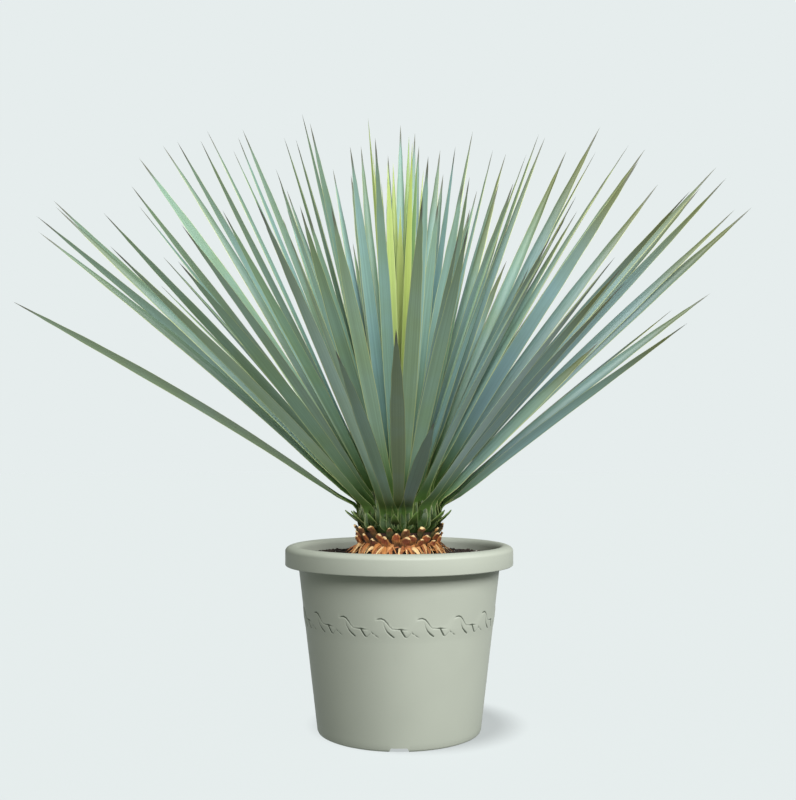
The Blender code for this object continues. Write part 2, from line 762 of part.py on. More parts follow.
def shade(part, material_name, finish, sharp):
    part.data.materials.clear()
    part.data.materials.append(finish_material(material_name, finish))
    part.data.shade_smooth()
    part.data.set_sharp_from_angle(angle=math.radians(sharp))


def main():
    clear_scene()
    shade(make_pot(), "sage_plastic", SAGE_PLASTIC, 35)
    shade(make_soil(), "dark_soil", DARK_SOIL, 60)
    shade(make_stem(), "dry_stub", DRY_STUB, 40)
    shade(make_leaf_head(), "blue_green_leaf", BLUE_GREEN, 40)
    shade(make_heart_leaves(), "yellow_green_leaf", YELLOW_GREEN, 40)


main()
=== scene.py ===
"""Potted yucca: the finished surfaces of the pot, its soil, the stubbed stem and the leaves.

Run it as a script in Blender. Metres, +Z up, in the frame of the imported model.
"""

import json
import math
import random
from collections import namedtuple

import bpy
from bpy.props import FloatProperty, FloatVectorProperty, IntProperty, PointerProperty
from bpy.types import Operator, Panel, PropertyGroup
from mathutils import Matrix, Vector, noise

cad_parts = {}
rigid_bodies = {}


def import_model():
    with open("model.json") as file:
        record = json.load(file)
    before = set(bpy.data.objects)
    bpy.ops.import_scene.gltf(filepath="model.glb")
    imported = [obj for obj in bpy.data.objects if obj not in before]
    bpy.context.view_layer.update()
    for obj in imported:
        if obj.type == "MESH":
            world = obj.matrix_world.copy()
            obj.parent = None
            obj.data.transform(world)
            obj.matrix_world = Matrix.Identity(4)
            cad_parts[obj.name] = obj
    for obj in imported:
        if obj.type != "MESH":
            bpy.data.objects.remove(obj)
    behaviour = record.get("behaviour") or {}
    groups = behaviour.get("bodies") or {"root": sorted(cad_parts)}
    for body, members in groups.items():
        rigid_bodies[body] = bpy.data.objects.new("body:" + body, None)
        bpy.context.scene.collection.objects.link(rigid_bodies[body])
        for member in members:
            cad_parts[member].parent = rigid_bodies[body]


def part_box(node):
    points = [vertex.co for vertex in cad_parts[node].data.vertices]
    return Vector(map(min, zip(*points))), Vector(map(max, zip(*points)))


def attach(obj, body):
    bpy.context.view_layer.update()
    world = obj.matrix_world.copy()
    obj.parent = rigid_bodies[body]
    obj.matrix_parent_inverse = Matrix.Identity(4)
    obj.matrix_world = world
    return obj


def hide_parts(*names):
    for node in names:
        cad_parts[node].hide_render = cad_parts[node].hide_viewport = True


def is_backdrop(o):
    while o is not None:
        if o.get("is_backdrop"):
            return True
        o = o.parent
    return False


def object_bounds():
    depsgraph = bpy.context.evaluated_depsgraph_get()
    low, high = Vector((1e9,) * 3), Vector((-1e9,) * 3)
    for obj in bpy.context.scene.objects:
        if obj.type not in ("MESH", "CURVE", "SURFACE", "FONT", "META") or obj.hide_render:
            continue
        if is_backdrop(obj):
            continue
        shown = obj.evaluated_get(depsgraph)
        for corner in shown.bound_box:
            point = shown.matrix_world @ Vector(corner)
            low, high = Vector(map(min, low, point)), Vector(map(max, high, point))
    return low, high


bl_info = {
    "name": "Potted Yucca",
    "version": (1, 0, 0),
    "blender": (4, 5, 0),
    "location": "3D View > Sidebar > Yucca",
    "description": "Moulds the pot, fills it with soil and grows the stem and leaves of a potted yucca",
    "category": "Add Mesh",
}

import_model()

CAD_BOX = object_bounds()
POT_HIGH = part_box("pot")[1]
SOIL_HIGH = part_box("soil")[1]
STEM_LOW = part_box("stem")[0]
UP = Vector((0.0, 0.0, 1.0))

# The photograph's frame in pixels, and in it the pot's axis and the height of the viewer's eye
PHOTO_SIDE = 800
AXIS_PIXEL = 399.2
PHOTO_CENTRE = 398.0
HORIZON_PIXEL = 461.3
PIXELS_PER_RADIAN = 981.4
SENSOR = 36.0

# Pot wall, a straight taper, and its foot
WALL_THICKNESS = 0.0035
WALL_FOOT_RADIUS = 0.1077
WALL_TAPER = 0.1147
FOOT_RADIUS = 0.105
FOOT_RING_WIDTH = 0.005
FOOT_DRAFT = 0.0015
FLOOR_UNDERSIDE = 0.006
FLOOR_TOP = 0.0095
FLOOR_FILLET = 0.006
EDGE_ROUND = 0.001
NOTCHES = 4
NOTCH_WIDTH = 0.027
NOTCH_TOP_WIDTH = 0.020
NOTCH_HEIGHT = 0.005
NOTCH_REACH = (-0.116, -0.092)
CUT_PAST = 0.002
DRAIN_HOLES = 6
DRAIN_RADIUS = 0.006
DRAIN_CIRCLE = 0.070
DRAIN_SIDES = 24
# Heights that the plain wall is drawn at, outside below the band and above it, and inside
WALL_BELOW = (0.03, 0.08, 0.12)
WALL_ABOVE = (0.185, 0.205)
WALL_INSIDE = (0.20, 0.10)

# Pot rim, rolled over and open underneath
POT_HEIGHT = POT_HIGH.z
RIM_RADIUS = POT_HIGH.x
RIM_CREST_RADIUS = 0.139
RIM_EDGE = 0.218
RIM_SHOULDER = 0.237
RIM_HOLLOW_TOP = 0.231
INNER_LIP = 0.236
# Straight runs that each rounding is drawn with
LIP_STEPS = 8
CREST_STEPS = 14
INNER_CREST_STEPS = 8
FILLET_STEPS = 5

# Raised band of running leaves
BAND_START = math.radians(-100.5)
BAND_FOOT = 0.134
BAND_TOP = 0.170
BAND_ROWS = 52
COLUMNS = 192
UNIT_COLUMNS = 84
# Upper edge of one running leaf, as a place along its unit and a height within the band
LEAF_EDGE = (
    (0.00, 0.86), (0.07, 0.86), (0.14, 0.80), (0.21, 0.68), (0.27, 0.57), (0.34, 0.53), (0.66, 0.52),
    (0.90, 0.82), (1.00, 0.86),
)
# Where that edge melts away into the wall, how soft it is where crisp and where melted, as shares of the
# band's height, and the share over which a leaf rises out of the wall
SOFT_EDGE = (0.62, 0.72, 0.82, 0.93)
SOFTNESS = (0.07, 0.26)
LEAF_RISE = 0.5
# Veins of one running leaf, each a line of places along the unit and up the band, with its depth there
VEINS = (
    (
        (-0.11, 0.83, 0.2), (-0.04, 0.86, 0.7), (0.03, 0.87, 0.85), (0.10, 0.83, 0.8), (0.17, 0.73, 0.7),
        (0.23, 0.61, 0.55), (0.29, 0.53, 0.45), (0.42, 0.51, 0.55), (0.50, 0.51, 1.0), (0.57, 0.50, 0.65),
        (0.70, 0.48, 0.15),
    ),
    ((0.08, 0.73, 0.2), (0.11, 0.58, 0.4), (0.17, 0.43, 0.7), (0.25, 0.32, 1.0), (0.33, 0.24, 0.8)),
    ((0.50, 0.50, 1.0), (0.55, 0.38, 1.0), (0.60, 0.27, 0.9), (0.65, 0.23, 0.4), (0.75, 0.37, 0.25)),
    ((0.76, 0.43, 0.2), (0.80, 0.36, 0.6), (0.84, 0.33, 0.3), (0.90, 0.27, 0.6), (0.95, 0.22, 0.2)),
)
# How wide a vein's mouth is where it is shallowest and deepest, and the share of it that is level
VEIN_MOUTH = (0.6, 1.0)
VEIN_LEVEL = 0.15

# The angles in degrees past which an edge looks sharp
SHARP = 50
PLAIN_SHARP = 40
SOIL_SHARP = 80
CRUMB_SHARP = 30
FIBRE_SHARP = 60

# Soil, and how far from the axis it turns from level to lumpy
SOIL_TOP = 0.2280
SOIL_RINGS = 70
SOIL_COLUMNS = 240
SOIL_LEVEL = (0.060, 0.085)
SOIL_LUMPS_PER_METRE = 60
SOIL_ROUGHNESS = (0.9, 2.1, 5)
SOIL_RISE = 0.0012
SOIL_LUMP = 0.0020
SOIL_LUMP_LIMIT = 0.0026
SOIL_LUMP_NEAR_STEM = 0.0004
GAP = 0.0004
CRUMB_SEED = 23
CRUMB_INNER_RADIUS = 0.062
CRUMB_EDGE = 0.004
CRUMB_SIZES = (0.45, 1.6)
SPECK_SIZES = (0.45, 0.85)
CRUMB_STRETCH = ((0.7, 1.7), (0.6, 1.0), (0.45, 0.8))
CRUMB_TILT = 0.5
CRUMB_KNOBS = (0.75, 1.15)
CRUMB_RAISED = 0.25
CRUMB_ABOVE_SOIL = 0.001
CRUMB_TONES = (0.0, 0.88)
SPECK_TONES = (0.93, 1.0)

# Stem, its stubs and the dry fibres under them, and the green scales at the foot of the crown
STEM_FOOT = STEM_LOW.z
STEM_TOP = 0.262
STEM_RADIUS = 0.050
STEM_CHAMFER = 0.004
STUB_SEED = 11
# Starts the small bumps of stubs and green scales, so that they come out alike in every run
ROUGH_SEED = 3
StubRow = namedtuple("StubRow", "count height lift length width")
# From the lowest row, which has come apart into fibres, to the topmost, which is still part green
STUB_ROWS = (
    StubRow(18, 0.2420, -20, 0.0175, 0.0150),
    StubRow(15, 0.2430, 62, 0.0150, 0.0145),
    StubRow(15, 0.2500, 60, 0.0155, 0.0145),
    StubRow(15, 0.2570, 56, 0.0160, 0.0135),
)
FIBRE_LEVEL = 0
FRESH_LEVEL = len(STUB_ROWS) - 1
STUB_THICK = 0.0046
STUB_ROOT = 0.008
STUB_WANDER = 0.20
STUB_TILT = 7.0
STUB_STRETCH = (0.78, 1.08)
STUB_ROLL = 20
STUB_SWAY = 16
STUB_BREADTH = (0.70, 1.15)
STUB_RISE = (-0.0024, 0.0024)
STUB_CUT = (0.35, 0.80)
STUB_BOW = 0.0004
STUB_POINTED = 0.25
STUB_ROUGH = 0.0014
STUB_FRESH = (0.2, 1.0)
STUB_LOOKS_SEED = 41
SCALE_SIDES = 20
SCALE_GRAIN = 320.0
SCALE_WIDTH = (0.86, 1.0)
SCALE_WIDEST = 0.45
SCALE_THICK = (1.1, 0.85)
SCALE_THINS = 0.35
SCALE_FLAT = 0.4
SCALE_STATIONS = (-1.0, 0.0, 0.15, 0.30, 0.45, 0.58, 0.70, 0.80, 0.88, 0.94, 0.98)
FIBRE_SEED = 43
FIBRE_STEPS = 8
FIBRE_THICK = 0.00045
FIBRE_HALF_TIP = 0.0002
FIBRE_BREADTH = (0.35, 1.15)
FIBRE_ON_EDGE = 1.2
FIBRE_EDGE_WANDER = 0.35
FIBRE_RISE = (-0.0010, 0.0080)
FIBRE_LIFT = (-48.0, -4.0)
FIBRE_SPREAD = 1.38
FIBRE_BEND = 0.010
FIBRE_STRETCH = (0.75, 1.15)
FIBRE_TIPS = (0.2300, 0.2345)
FIBRE_SUNK = 0.004
FIBRE_ARCH = 2.5
FIBRE_TAPER = (2.4, 0.6)
FIBRE_THINS = 1.3
FIBRE_FOLD = 0.25
GREEN_ROUGH = 0.0005
GREEN_ROUND_FROM = 0.1
GREEN_POINTED = 0.75
# How deep each green row stands in the crown, how far it bows out, and how thick it is
GREEN_SHAPES = ((0.0035, -0.0050, 0.0026), (0.0, -0.0030, 0.0042))
GREEN_ROWS = (
    StubRow(16, 0.2720, 60, 0.0150, 0.0160),
    StubRow(13, 0.2745, 36, 0.0235, 0.0136),
)

# Crown that the leaves grow on, as radius and height from its foot to its flat top
CROWN_PROFILE = (
    (0.0470, 0.2624),
    (0.0520, 0.2710),
    (0.0530, 0.2850),
    (0.0500, 0.3020),
    (0.0425, 0.3180),
    (0.0300, 0.3310),
    (0.0160, 0.3380),
)
CROWN_RADIUS = 0.053
CROWN_WAIST = 0.278
CROWN_RISE = 0.060
CROWN_COLUMNS = 96
CROWN_LOOKS = (0.0, 0.0, 0.3)
CROWN_SEED = 67

# Where the fan of outline leaves is laid out from, and the eye that it is seen from
FAN_CENTRE = Vector((0.0, 0.0, 0.290))
EYE = Vector((0.0, -1.30, 0.354))

# Outline leaves as seen from in front: lean from upright in degrees (left is negative), reach in metres,
# how far behind the pot's axis the tip lies, and how far the blade is rolled to face the viewer, in degrees
LEFT_FAN = (
    (-61.7, 0.582, 0.01, 34), (-52.4, 0.603, -0.07, -50), (-51.0, 0.618, 0.02, 60),
    (-48.6, 0.607, -0.12, -58), (-48.2, 0.615, 0.01, 50), (-44.9, 0.555, 0.05, 60),
    (-40.6, 0.530, -0.16, -50), (-39.6, 0.557, 0.12, 42), (-36.5, 0.580, -0.05, 66),
    (-33.0, 0.576, 0.06, -42), (-31.1, 0.570, -0.10, 40), (-28.3, 0.555, 0.15, 66),
    (-26.9, 0.563, -0.06, -22), (-24.8, 0.525, 0.20, 38), (-23.4, 0.538, -0.14, -36),
    (-22.4, 0.545, 0.08, 64), (-19.9, 0.480, -0.20, -16), (-17.2, 0.516, 0.14, 60),
    (-15.6, 0.510, -0.16, -42), (-13.8, 0.540, 0.10, 66), (-13.0, 0.526, -0.15, -18),
    (-11.0, 0.460, 0.24, 24), (-7.7, 0.486, -0.18, -20), (-6.0, 0.485, 0.16, 30),
    (-3.7, 0.494, -0.22, 12), (-1.8, 0.470, 0.22, -10), (-1.0, 0.240, -0.43, 4),
    (-21.8, 0.228, -0.38, 8),
)
RIGHT_FAN = (
    (0.2, 0.510, 0.16, 10), (2.4, 0.500, 0.14, -14), (3.1, 0.483, 0.20, 20),
    (4.7, 0.470, -0.24, -12), (6.5, 0.480, 0.15, 26), (8.8, 0.487, -0.15, 40),
    (11.0, 0.511, 0.12, -16), (14.6, 0.493, -0.12, 50), (16.7, 0.493, 0.18, -36),
    (19.7, 0.500, -0.18, 60), (20.4, 0.531, 0.10, -22), (21.4, 0.530, -0.06, 46),
    (25.0, 0.525, 0.16, 60), (27.7, 0.573, -0.04, 62), (28.8, 0.541, 0.14, -40),
    (32.2, 0.571, 0.06, -20), (32.0, 0.524, -0.16, 60), (34.3, 0.578, 0.12, 50),
    (34.5, 0.560, -0.08, -60), (38.5, 0.551, 0.04, 56), (42.4, 0.572, -0.10, -42),
    (43.1, 0.585, 0.11, 60), (42.8, 0.619, -0.02, 68), (44.6, 0.617, 0.05, -62),
    (48.2, 0.597, 0.10, 62), (49.4, 0.615, 0.12, 60), (55.2, 0.502, 0.08, 66),
    (57.1, 0.455, 0.02, -62), (28.2, 0.365, -0.10, 30), (50.0, 0.345, -0.05, 50),
    (21.8, 0.125, -0.27, 6),
)
FAN_SEED = 5

# Inner leaves, on a golden-angle spiral round the crown
SPIRAL_LEAVES = 90
SPIRAL_SEED = 31
GOLDEN_ANGLE = math.radians(137.508)
SPIRAL_TOP = 30.0
SPIRAL_BOTTOM = 86.0
SPIRAL_LEAN = (15.0, 57.0)
SPIRAL_LENGTH = (0.54, 0.58)
SIDE_SECTOR = 27.0
SIDE_LEAN = 24.0
LEAN_WANDER = 3.5
AZIMUTH_WANDER = 0.10
SHORTEST = 0.88
FURTHEST_IN = 0.84
SPIRAL_ROLL = 30
# The leans, as seen from in front, between which no leaf of the spiral hides the heart
HEART_GAP = (-12.0, 3.2)
# How far the spiral's leaves reach as seen from in front, when upright and at the wide lean
INNER_REACH = (0.470, 0.575)
WIDE_LEAN = 55.0
DRAW_IN_ROUNDS = 4

# How far any of them may reach before or behind the pot's axis
DEEPEST = 0.435

# Blades
BLADE_ROOT = 0.016
BLADE_RISE = 0.10
BLADE_SETTLE = 0.04
BLADE_NECK = (0.02, 0.22)
BLADE_TWIST = 22
BLADE_SPREAD = (0.86, 1.10)
BLADE_STEP = 0.006
BLADE_START = -0.05
BLADE_LEAST = 0.0003
RISE_WANDER = (-1.5, 2.0)
SETTLE_WANDER = (-2.0, 2.0)
# How wide a blade is along its length, as shares of its widest
WIDTH_PROFILE = (
    (0.10, 0.76), (0.20, 0.82), (0.42, 1.00), (0.62, 0.94),
    (0.78, 0.68), (0.89, 0.38), (0.955, 0.14), (1.00, 0.02),
)
# How deep a blade's upper face is channelled and how thick it is, both as shares of its width
CHANNEL_PROFILE = ((-0.05, 0.14), (0.02, 0.14), (0.09, 0.10), (0.30, 0.05), (1.00, 0.03))
DEPTH_PROFILE = ((-0.05, 0.10), (0.02, 0.12), (0.09, 0.16), (0.30, 0.11), (1.00, 0.22))
UPPER_STATIONS = 28
# A blade's base, which clasps the crown: its width by the metres past where the blade leaves the crown,
# the shares of the way down at which it is drawn, and the metres past the crown
BASE_WIDTH = ((-0.045, 0.85), (-0.028, 1.08), (-0.012, 1.14), (0.006, 1.08), (0.026, 0.88), (0.050, 0.80))
BASE_DEPTH = 0.045
BASE_LEAST = 0.004
BASE_FOOT = 0.2646
BASE_ROUND = 0.007
BASE_FOOT_WIDTH = 0.45
BASE_FOOT_RUN = (-0.2, 1.0)
BASE_SHARES = (1.0, 0.97, 0.90, 0.78, 0.60, 0.42, 0.22)
NECK_STATIONS = (0.0, 0.008, 0.016, 0.026, 0.038, 0.050)
# Places across a blade, from one margin over the upper face to the other and back underneath
ACROSS = (-1.0, -0.88, -0.45, 0.0, 0.45, 0.88, 1.0, 0.88, 0.45, 0.0, -0.45, -0.88)
UPPER_FACE = 6
KEEL_CURVE = 0.8
CLASP_BEND = (-0.020, 0.036)
CLASP_PROUD = 0.0034
CLASP_SUNK = 0.0015
CLASP_SINKS = (0.012, 0.040)
CLASP_LOWEST = 0.001

# A mature leaf's looks follow from how far its tip leans, in degrees, and from how far it lies to the right
# and to the front, in metres. These are the leans and the metres over which each look sets in.
OLD_LEANS = (54, 66)
# Leaves to the front get painted light in their tone, and more age, by these
FRONT_LEANS = (26, 44)
FRONT_METRES = (0.16, 0.36)
DRY_METRES = (0.0, 0.26)
# Leaves that lean far or lie to the right get painted shade in their tone by these
SHADE_LEANS = (34, 50)
SHADE_METRES = (0.12, 0.36)
# Where each of them starts and how far it goes, and how much of it is left to chance
HUE = (0.48, 0.70)
HUE_WANDER = 0.36
OLD_SHARES = (0.50, 0.50)
AGE_CHANCE = (0.2, 1.0)
AGE_WANDER = 0.08
DRY = (0.25, 0.70)
DRY_WANDER = (-0.20, 0.25)
SHADE_SHARES = (0.58, 0.40)
FRONT_CHANCE = (0.75, 1.0)
BLADE_LOOKS_SEED = 61

# Young leaves at the heart
HEART_LEAVES = 13
HEART_SEED = 31
HEART_FOOT = 0.3384
HEART_TOP = 0.365
HEART_RADIUS = 0.0130
HEART_ROOTS = 0.60
HEART_SUNK = 0.004
HEART_LEAN = 5.0
HEART_REACH = (0.30, 0.47)
HEART_SHORTEST = 0.90
HEART_SPREAD = (0.85, 1.1)
HEART_BOW = 0.5
HEART_TWIST = 25
HEART_CORE = ((1.0, 0.0), (0.95, 0.55), (0.40, 1.0))
HEART_COLUMNS = 24
HEART_LOOKS = (0.0, 0.0, 0.5)
HEART_LOOKS_SEED = 71

# Tint of the light from all round
SHADE_TINT = (0.96, 1.05, 0.88)

# Where each soft light stands, with its width and height, and what they are all turned to
SOFT_LIGHTS = {
    "key": ((1.40, -3.50, 2.70), 3.4, 3.4),
    "fill": ((-1.90, -1.50, 1.30), 2.4, 2.4),
    "pot": ((1.05, -1.72, 1.66), 3.0, 1.0),
    "top": ((-0.3, 0.2, 2.7), 1.8, 1.8),
}
LIT_PLACE = (0.0, 0.0, 0.30)

# How much of the floor's colour is lit rather than its own glow, and the sun that lights the floor alone
FLOOR_SHADE = 0.11
FLOOR_SUN = 10.0
FLOOR_SUN_FROM = Vector((-0.105, -0.14, 1.0)).normalized()
FLOOR_SUN_SPREAD = math.radians(12)
FLOOR_RADIUS = 30.0
FLOOR_DROP = 0.0005
FLOOR_SIDES = 64

Scale = namedtuple("Scale", "length width thickness root bow round_from pointed rough")
Leaf = namedtuple("Leaf", "root tip rise settle width roll twist")
Looks = namedtuple("Looks", "tone hue age dry")


def paint(red, green, blue):
    """A display colour from 0 to 255, as the linear colour that a shader takes."""
    shades = [level / 255 for level in (red, green, blue)]
    return tuple(s / 12.92 if s <= 0.04045 else ((s + 0.055) / 1.055) ** 2.4 for s in shades)


def count(name, description, default, low):
    return IntProperty(name=name, description=description, default=default, min=low)


def amount(**limits):
    """A kind of amount, never below 0, that is then declared by its name, description and default."""

    def declared(name, description, default):
        return FloatProperty(name=name, description=description, default=default, min=0.0, **limits)

    return declared


size = amount(unit="LENGTH", precision=4)
share = amount(max=1.0)
strength = amount()
power = amount(unit="POWER")


def colour(name, description, red, green, blue):
    return FloatVectorProperty(
        name=name, description=description, default=paint(red, green, blue),
        subtype="COLOR", min=0.0, max=1.0,
    )


class PotSettings(PropertyGroup):
    units: count("Leaves in the band", "Running leaves round the pot", 16, 3)
    lift: size("Band lift", "How far the running leaves stand out of the wall", 0.0007)
    vein_depth: size("Vein depth", "How deep the veins are cut into the running leaves", 0.0009)
    vein_width: size("Vein width", "Half the width of a vein at its mouth", 0.0014)
    plastic: colour("Plastic", "Colour of the moulded plastic", 171, 176, 164)
    # Painted shade: a dark colour laid into the cut veins, for the shade that falls in them
    dust: colour("Painted vein shade", "Colour of what gathers in the veins", 48, 58, 42)
    roughness: share("Roughness", "How matt the plastic is", 0.55)


class SoilSettings(PropertyGroup):
    crumbs: count("Crumbs", "Loose crumbs on the soil", 1900, 0)
    crumb_size: size("Crumb size", "Radius of a usual crumb", 0.0017)
    speck_share: share("Pale specks", "Share of the crumbs that are pale grit", 0.07)
    soil: colour("Soil", "Colour of moist potting soil", 26, 20, 17)
    crumb: colour("Crumb", "Colour of the drier crumbs", 54, 40, 31)
    speck: colour("Speck", "Colour of the pale grit", 196, 190, 176)


class StemSettings(PropertyGroup):
    fibres: count("Fibres", "Curling fibres from each of the lowest stubs", 11, 1)
    fibre_width: size("Fibre width", "Width of a usual fibre", 0.0062)
    husk: colour("Husk", "Colour of a dry stub near its edges", 168, 110, 54)
    heartwood: colour("Stub face", "Colour of the middle of a stub", 134, 66, 32)
    cut: colour("Cut end", "Colour of a stub's cut end", 226, 194, 140)
    fibre: colour("Fibre", "Colour of the curling fibres", 178, 116, 58)
    bark: colour("Bark", "Colour of the stem between the stubs", 48, 28, 16)
    fresh: colour("Fresh", "Colour of the topmost stubs, which are still part green", 52, 58, 22)


class LeafSettings(PropertyGroup):
    width: size("Blade width", "Width of a usual blade at its widest", 0.0172)
    green: colour("Green", "Colour of the greener blades", 114, 143, 110)
    teal: colour("Blue green", "Colour of the waxy blue-green blades", 124, 159, 162)
    # Painted shade: the blades turn to this deep green towards their bases, deep in the head
    deep: colour("Deep green", "Colour of the blades' bases", 80, 112, 46)
    weathered: colour("Weathered", "Colour of old blades", 138, 138, 108)
    dried: colour("Dried", "Colour of the upper ends that begin to dry", 84, 92, 48)
    margin: colour("Margin", "Colour of the thin horny margins", 186, 192, 126)
    spine: colour("Spine", "Colour of the sharp tips", 86, 88, 74)
    # Painted shade: the dark colour of the crown, which the blades also take at their feet
    crown: colour("Crown", "Colour of the shaded crown between the blades' bases", 36, 60, 8)
    roughness: share("Roughness", "How matt the waxy surface is", 0.48)


class HeartSettings(PropertyGroup):
    width: size("Blade width", "Width of a usual young blade", 0.0130)
    young: colour("Young", "Colour of the youngest blades", 156, 172, 90)
    grown: colour("Grown", "Colour of the young blades that turn green", 104, 136, 84)
    margin: colour("Margin", "Colour of the young blades' margins", 178, 190, 122)


class StageSettings(PropertyGroup):
    backdrop: colour("Backdrop", "Colour of the floor and the backdrop", 230, 237, 237)
    key: power("Key light", "Power of the large soft light on the plant", 340.0)
    fill: power("Fill light", "Power of the light on the plant's other side", 70.0)
    pot: power("Pot light", "Power of the light on the pot and its soil", 108.0)
    top: power("Top light", "Power of the light overhead", 14.0)
    ambient: strength("Ambient", "Strength of the light from all round", 0.18)


class YuccaSettings(PropertyGroup):
    pot: PointerProperty(type=PotSettings)
    soil: PointerProperty(type=SoilSettings)
    stem: PointerProperty(type=StemSettings)
    leaf: PointerProperty(type=LeafSettings)
    heart: PointerProperty(type=HeartSettings)
    stage: PointerProperty(type=StageSettings)


# Small sums


def between(span, part):
    return span[0] + (span[1] - span[0]) * part


def limited(value):
    return min(1.0, max(0.0, value))


def smooth(low, high, value):
    part = limited((value - low) / (high - low))
    return part * part * (3 - 2 * part)


def profile_value(profile, place):
    for (low, first), (high, second) in zip(profile, profile[1:]):
        if place <= high:
            return first + (second - first) * smooth(low, high, place)
    return profile[-1][1]


def heading(lean, azimuth):
    """A direction that leans from upright by this many degrees, towards this azimuth in radians."""
    tilt = math.radians(lean)
    outward = Vector((math.cos(azimuth), math.sin(azimuth), 0.0))
    return outward * math.sin(tilt) + UP * math.cos(tilt)


def lean_of(direction):
    """How many degrees a direction leans from upright."""
    return math.degrees(math.atan2(math.hypot(direction.x, direction.y), direction.z))


def turn_about(axis, degrees):
    return Matrix.Rotation(math.radians(degrees), 3, axis)


# Meshes


def put_in_scene(name, data):
    made = bpy.data.objects.new(name, data)
    bpy.context.scene.collection.objects.link(made)
    return made


class Gathered:
    """Points, faces and named point values of one mesh, gathered piece by piece."""

    def __init__(self, *names):
        self.points = []
        self.faces = []
        self.values = {name: [] for name in names}

    def add_point(self, place, *values):
        self.points.append(place)
        for gathered, value in zip(self.values.values(), values):
            gathered.append(value)
        return len(self.points) - 1

    def add_loop(self, places, rows):
        return [self.add_point(place, *row) for place, row in zip(places, rows)]

    def add_rings(self, profile, columns, *values):
        """A ring for each radius and height of a profile, with the same values at every point."""
        rows = [values] * columns
        return [self.add_loop(ring(radius, height, columns), rows) for radius, height in profile]

    def bridge(self, lower, upper):
        """Faces between two closed loops; one may have a whole multiple of the other's points."""
        if len(lower) > len(upper):
            first = len(self.faces)
            self.bridge(upper, lower)
            self.faces[first:] = [tuple(reversed(face)) for face in self.faces[first:]]
            return
        ratio = len(upper) // len(lower)
        for column, here in enumerate(lower):
            following = lower[(column + 1) % len(lower)]
            start = column * ratio
            if ratio == 1:
                self.faces.append((here, following, upper[(column + 1) % len(upper)], upper[column]))
                continue
            middle = start + ratio // 2
            for step in range(start, start + ratio):
                near = here if step < middle else following
                self.faces.append((near, upper[(step + 1) % len(upper)], upper[step]))
            self.faces.append((here, following, upper[middle % len(upper)]))

    def skin(self, loops):
        for lower, upper in zip(loops, loops[1:]):
            self.bridge(lower, upper)

    def fan(self, loop, pole):
        for here, following in zip(loop, loop[1:] + loop[:1]):
            self.faces.append((here, following, pole))

    def close(self, loops, low, high, *values):
        """Skins a turned body and closes it with a point on the axis at each of these heights."""
        self.skin(loops)
        self.fan(loops[0][::-1], self.add_point(UP * low, *values))
        self.fan(loops[-1], self.add_point(UP * high, *values))

    def make(self, name, material, sharp=PLAIN_SHARP):
        mesh = bpy.data.meshes.new(name)
        mesh.from_pydata(self.points, [], self.faces)
        for key, gathered in self.values.items():
            mesh.attributes.new(key, "FLOAT", "POINT").data.foreach_set("value", gathered)
        mesh.materials.append(material)
        mesh.shade_smooth()
        mesh.set_sharp_from_angle(angle=math.radians(sharp))
        return put_in_scene(name, mesh)


def settle(piece, node, slot):
    """The piece rides on the plant's one body and stands for a node, which it hides; slot is not used."""
    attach(piece, "root")
    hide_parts(node)


def ring(radius, height, columns):
    """One ring of points; radius is a number or a function of the column."""
    points = []
    for column in range(columns):
        angle = 2 * math.pi * column / columns
        reach = radius(column) if callable(radius) else radius
        points.append(Vector((reach * math.cos(angle), reach * math.sin(angle), height)))
    return points


def arc(centre, radii, start, stop, steps):
    """Points on an ellipse in the profile plane, angles in degrees from outward to up."""
    points = []
    for step in range(steps + 1):
        angle = math.radians(start + (stop - start) * step / steps)
        points.append((centre[0] + radii[0] * math.cos(angle), centre[1] + radii[1] * math.sin(angle)))
    return points


# Finishes


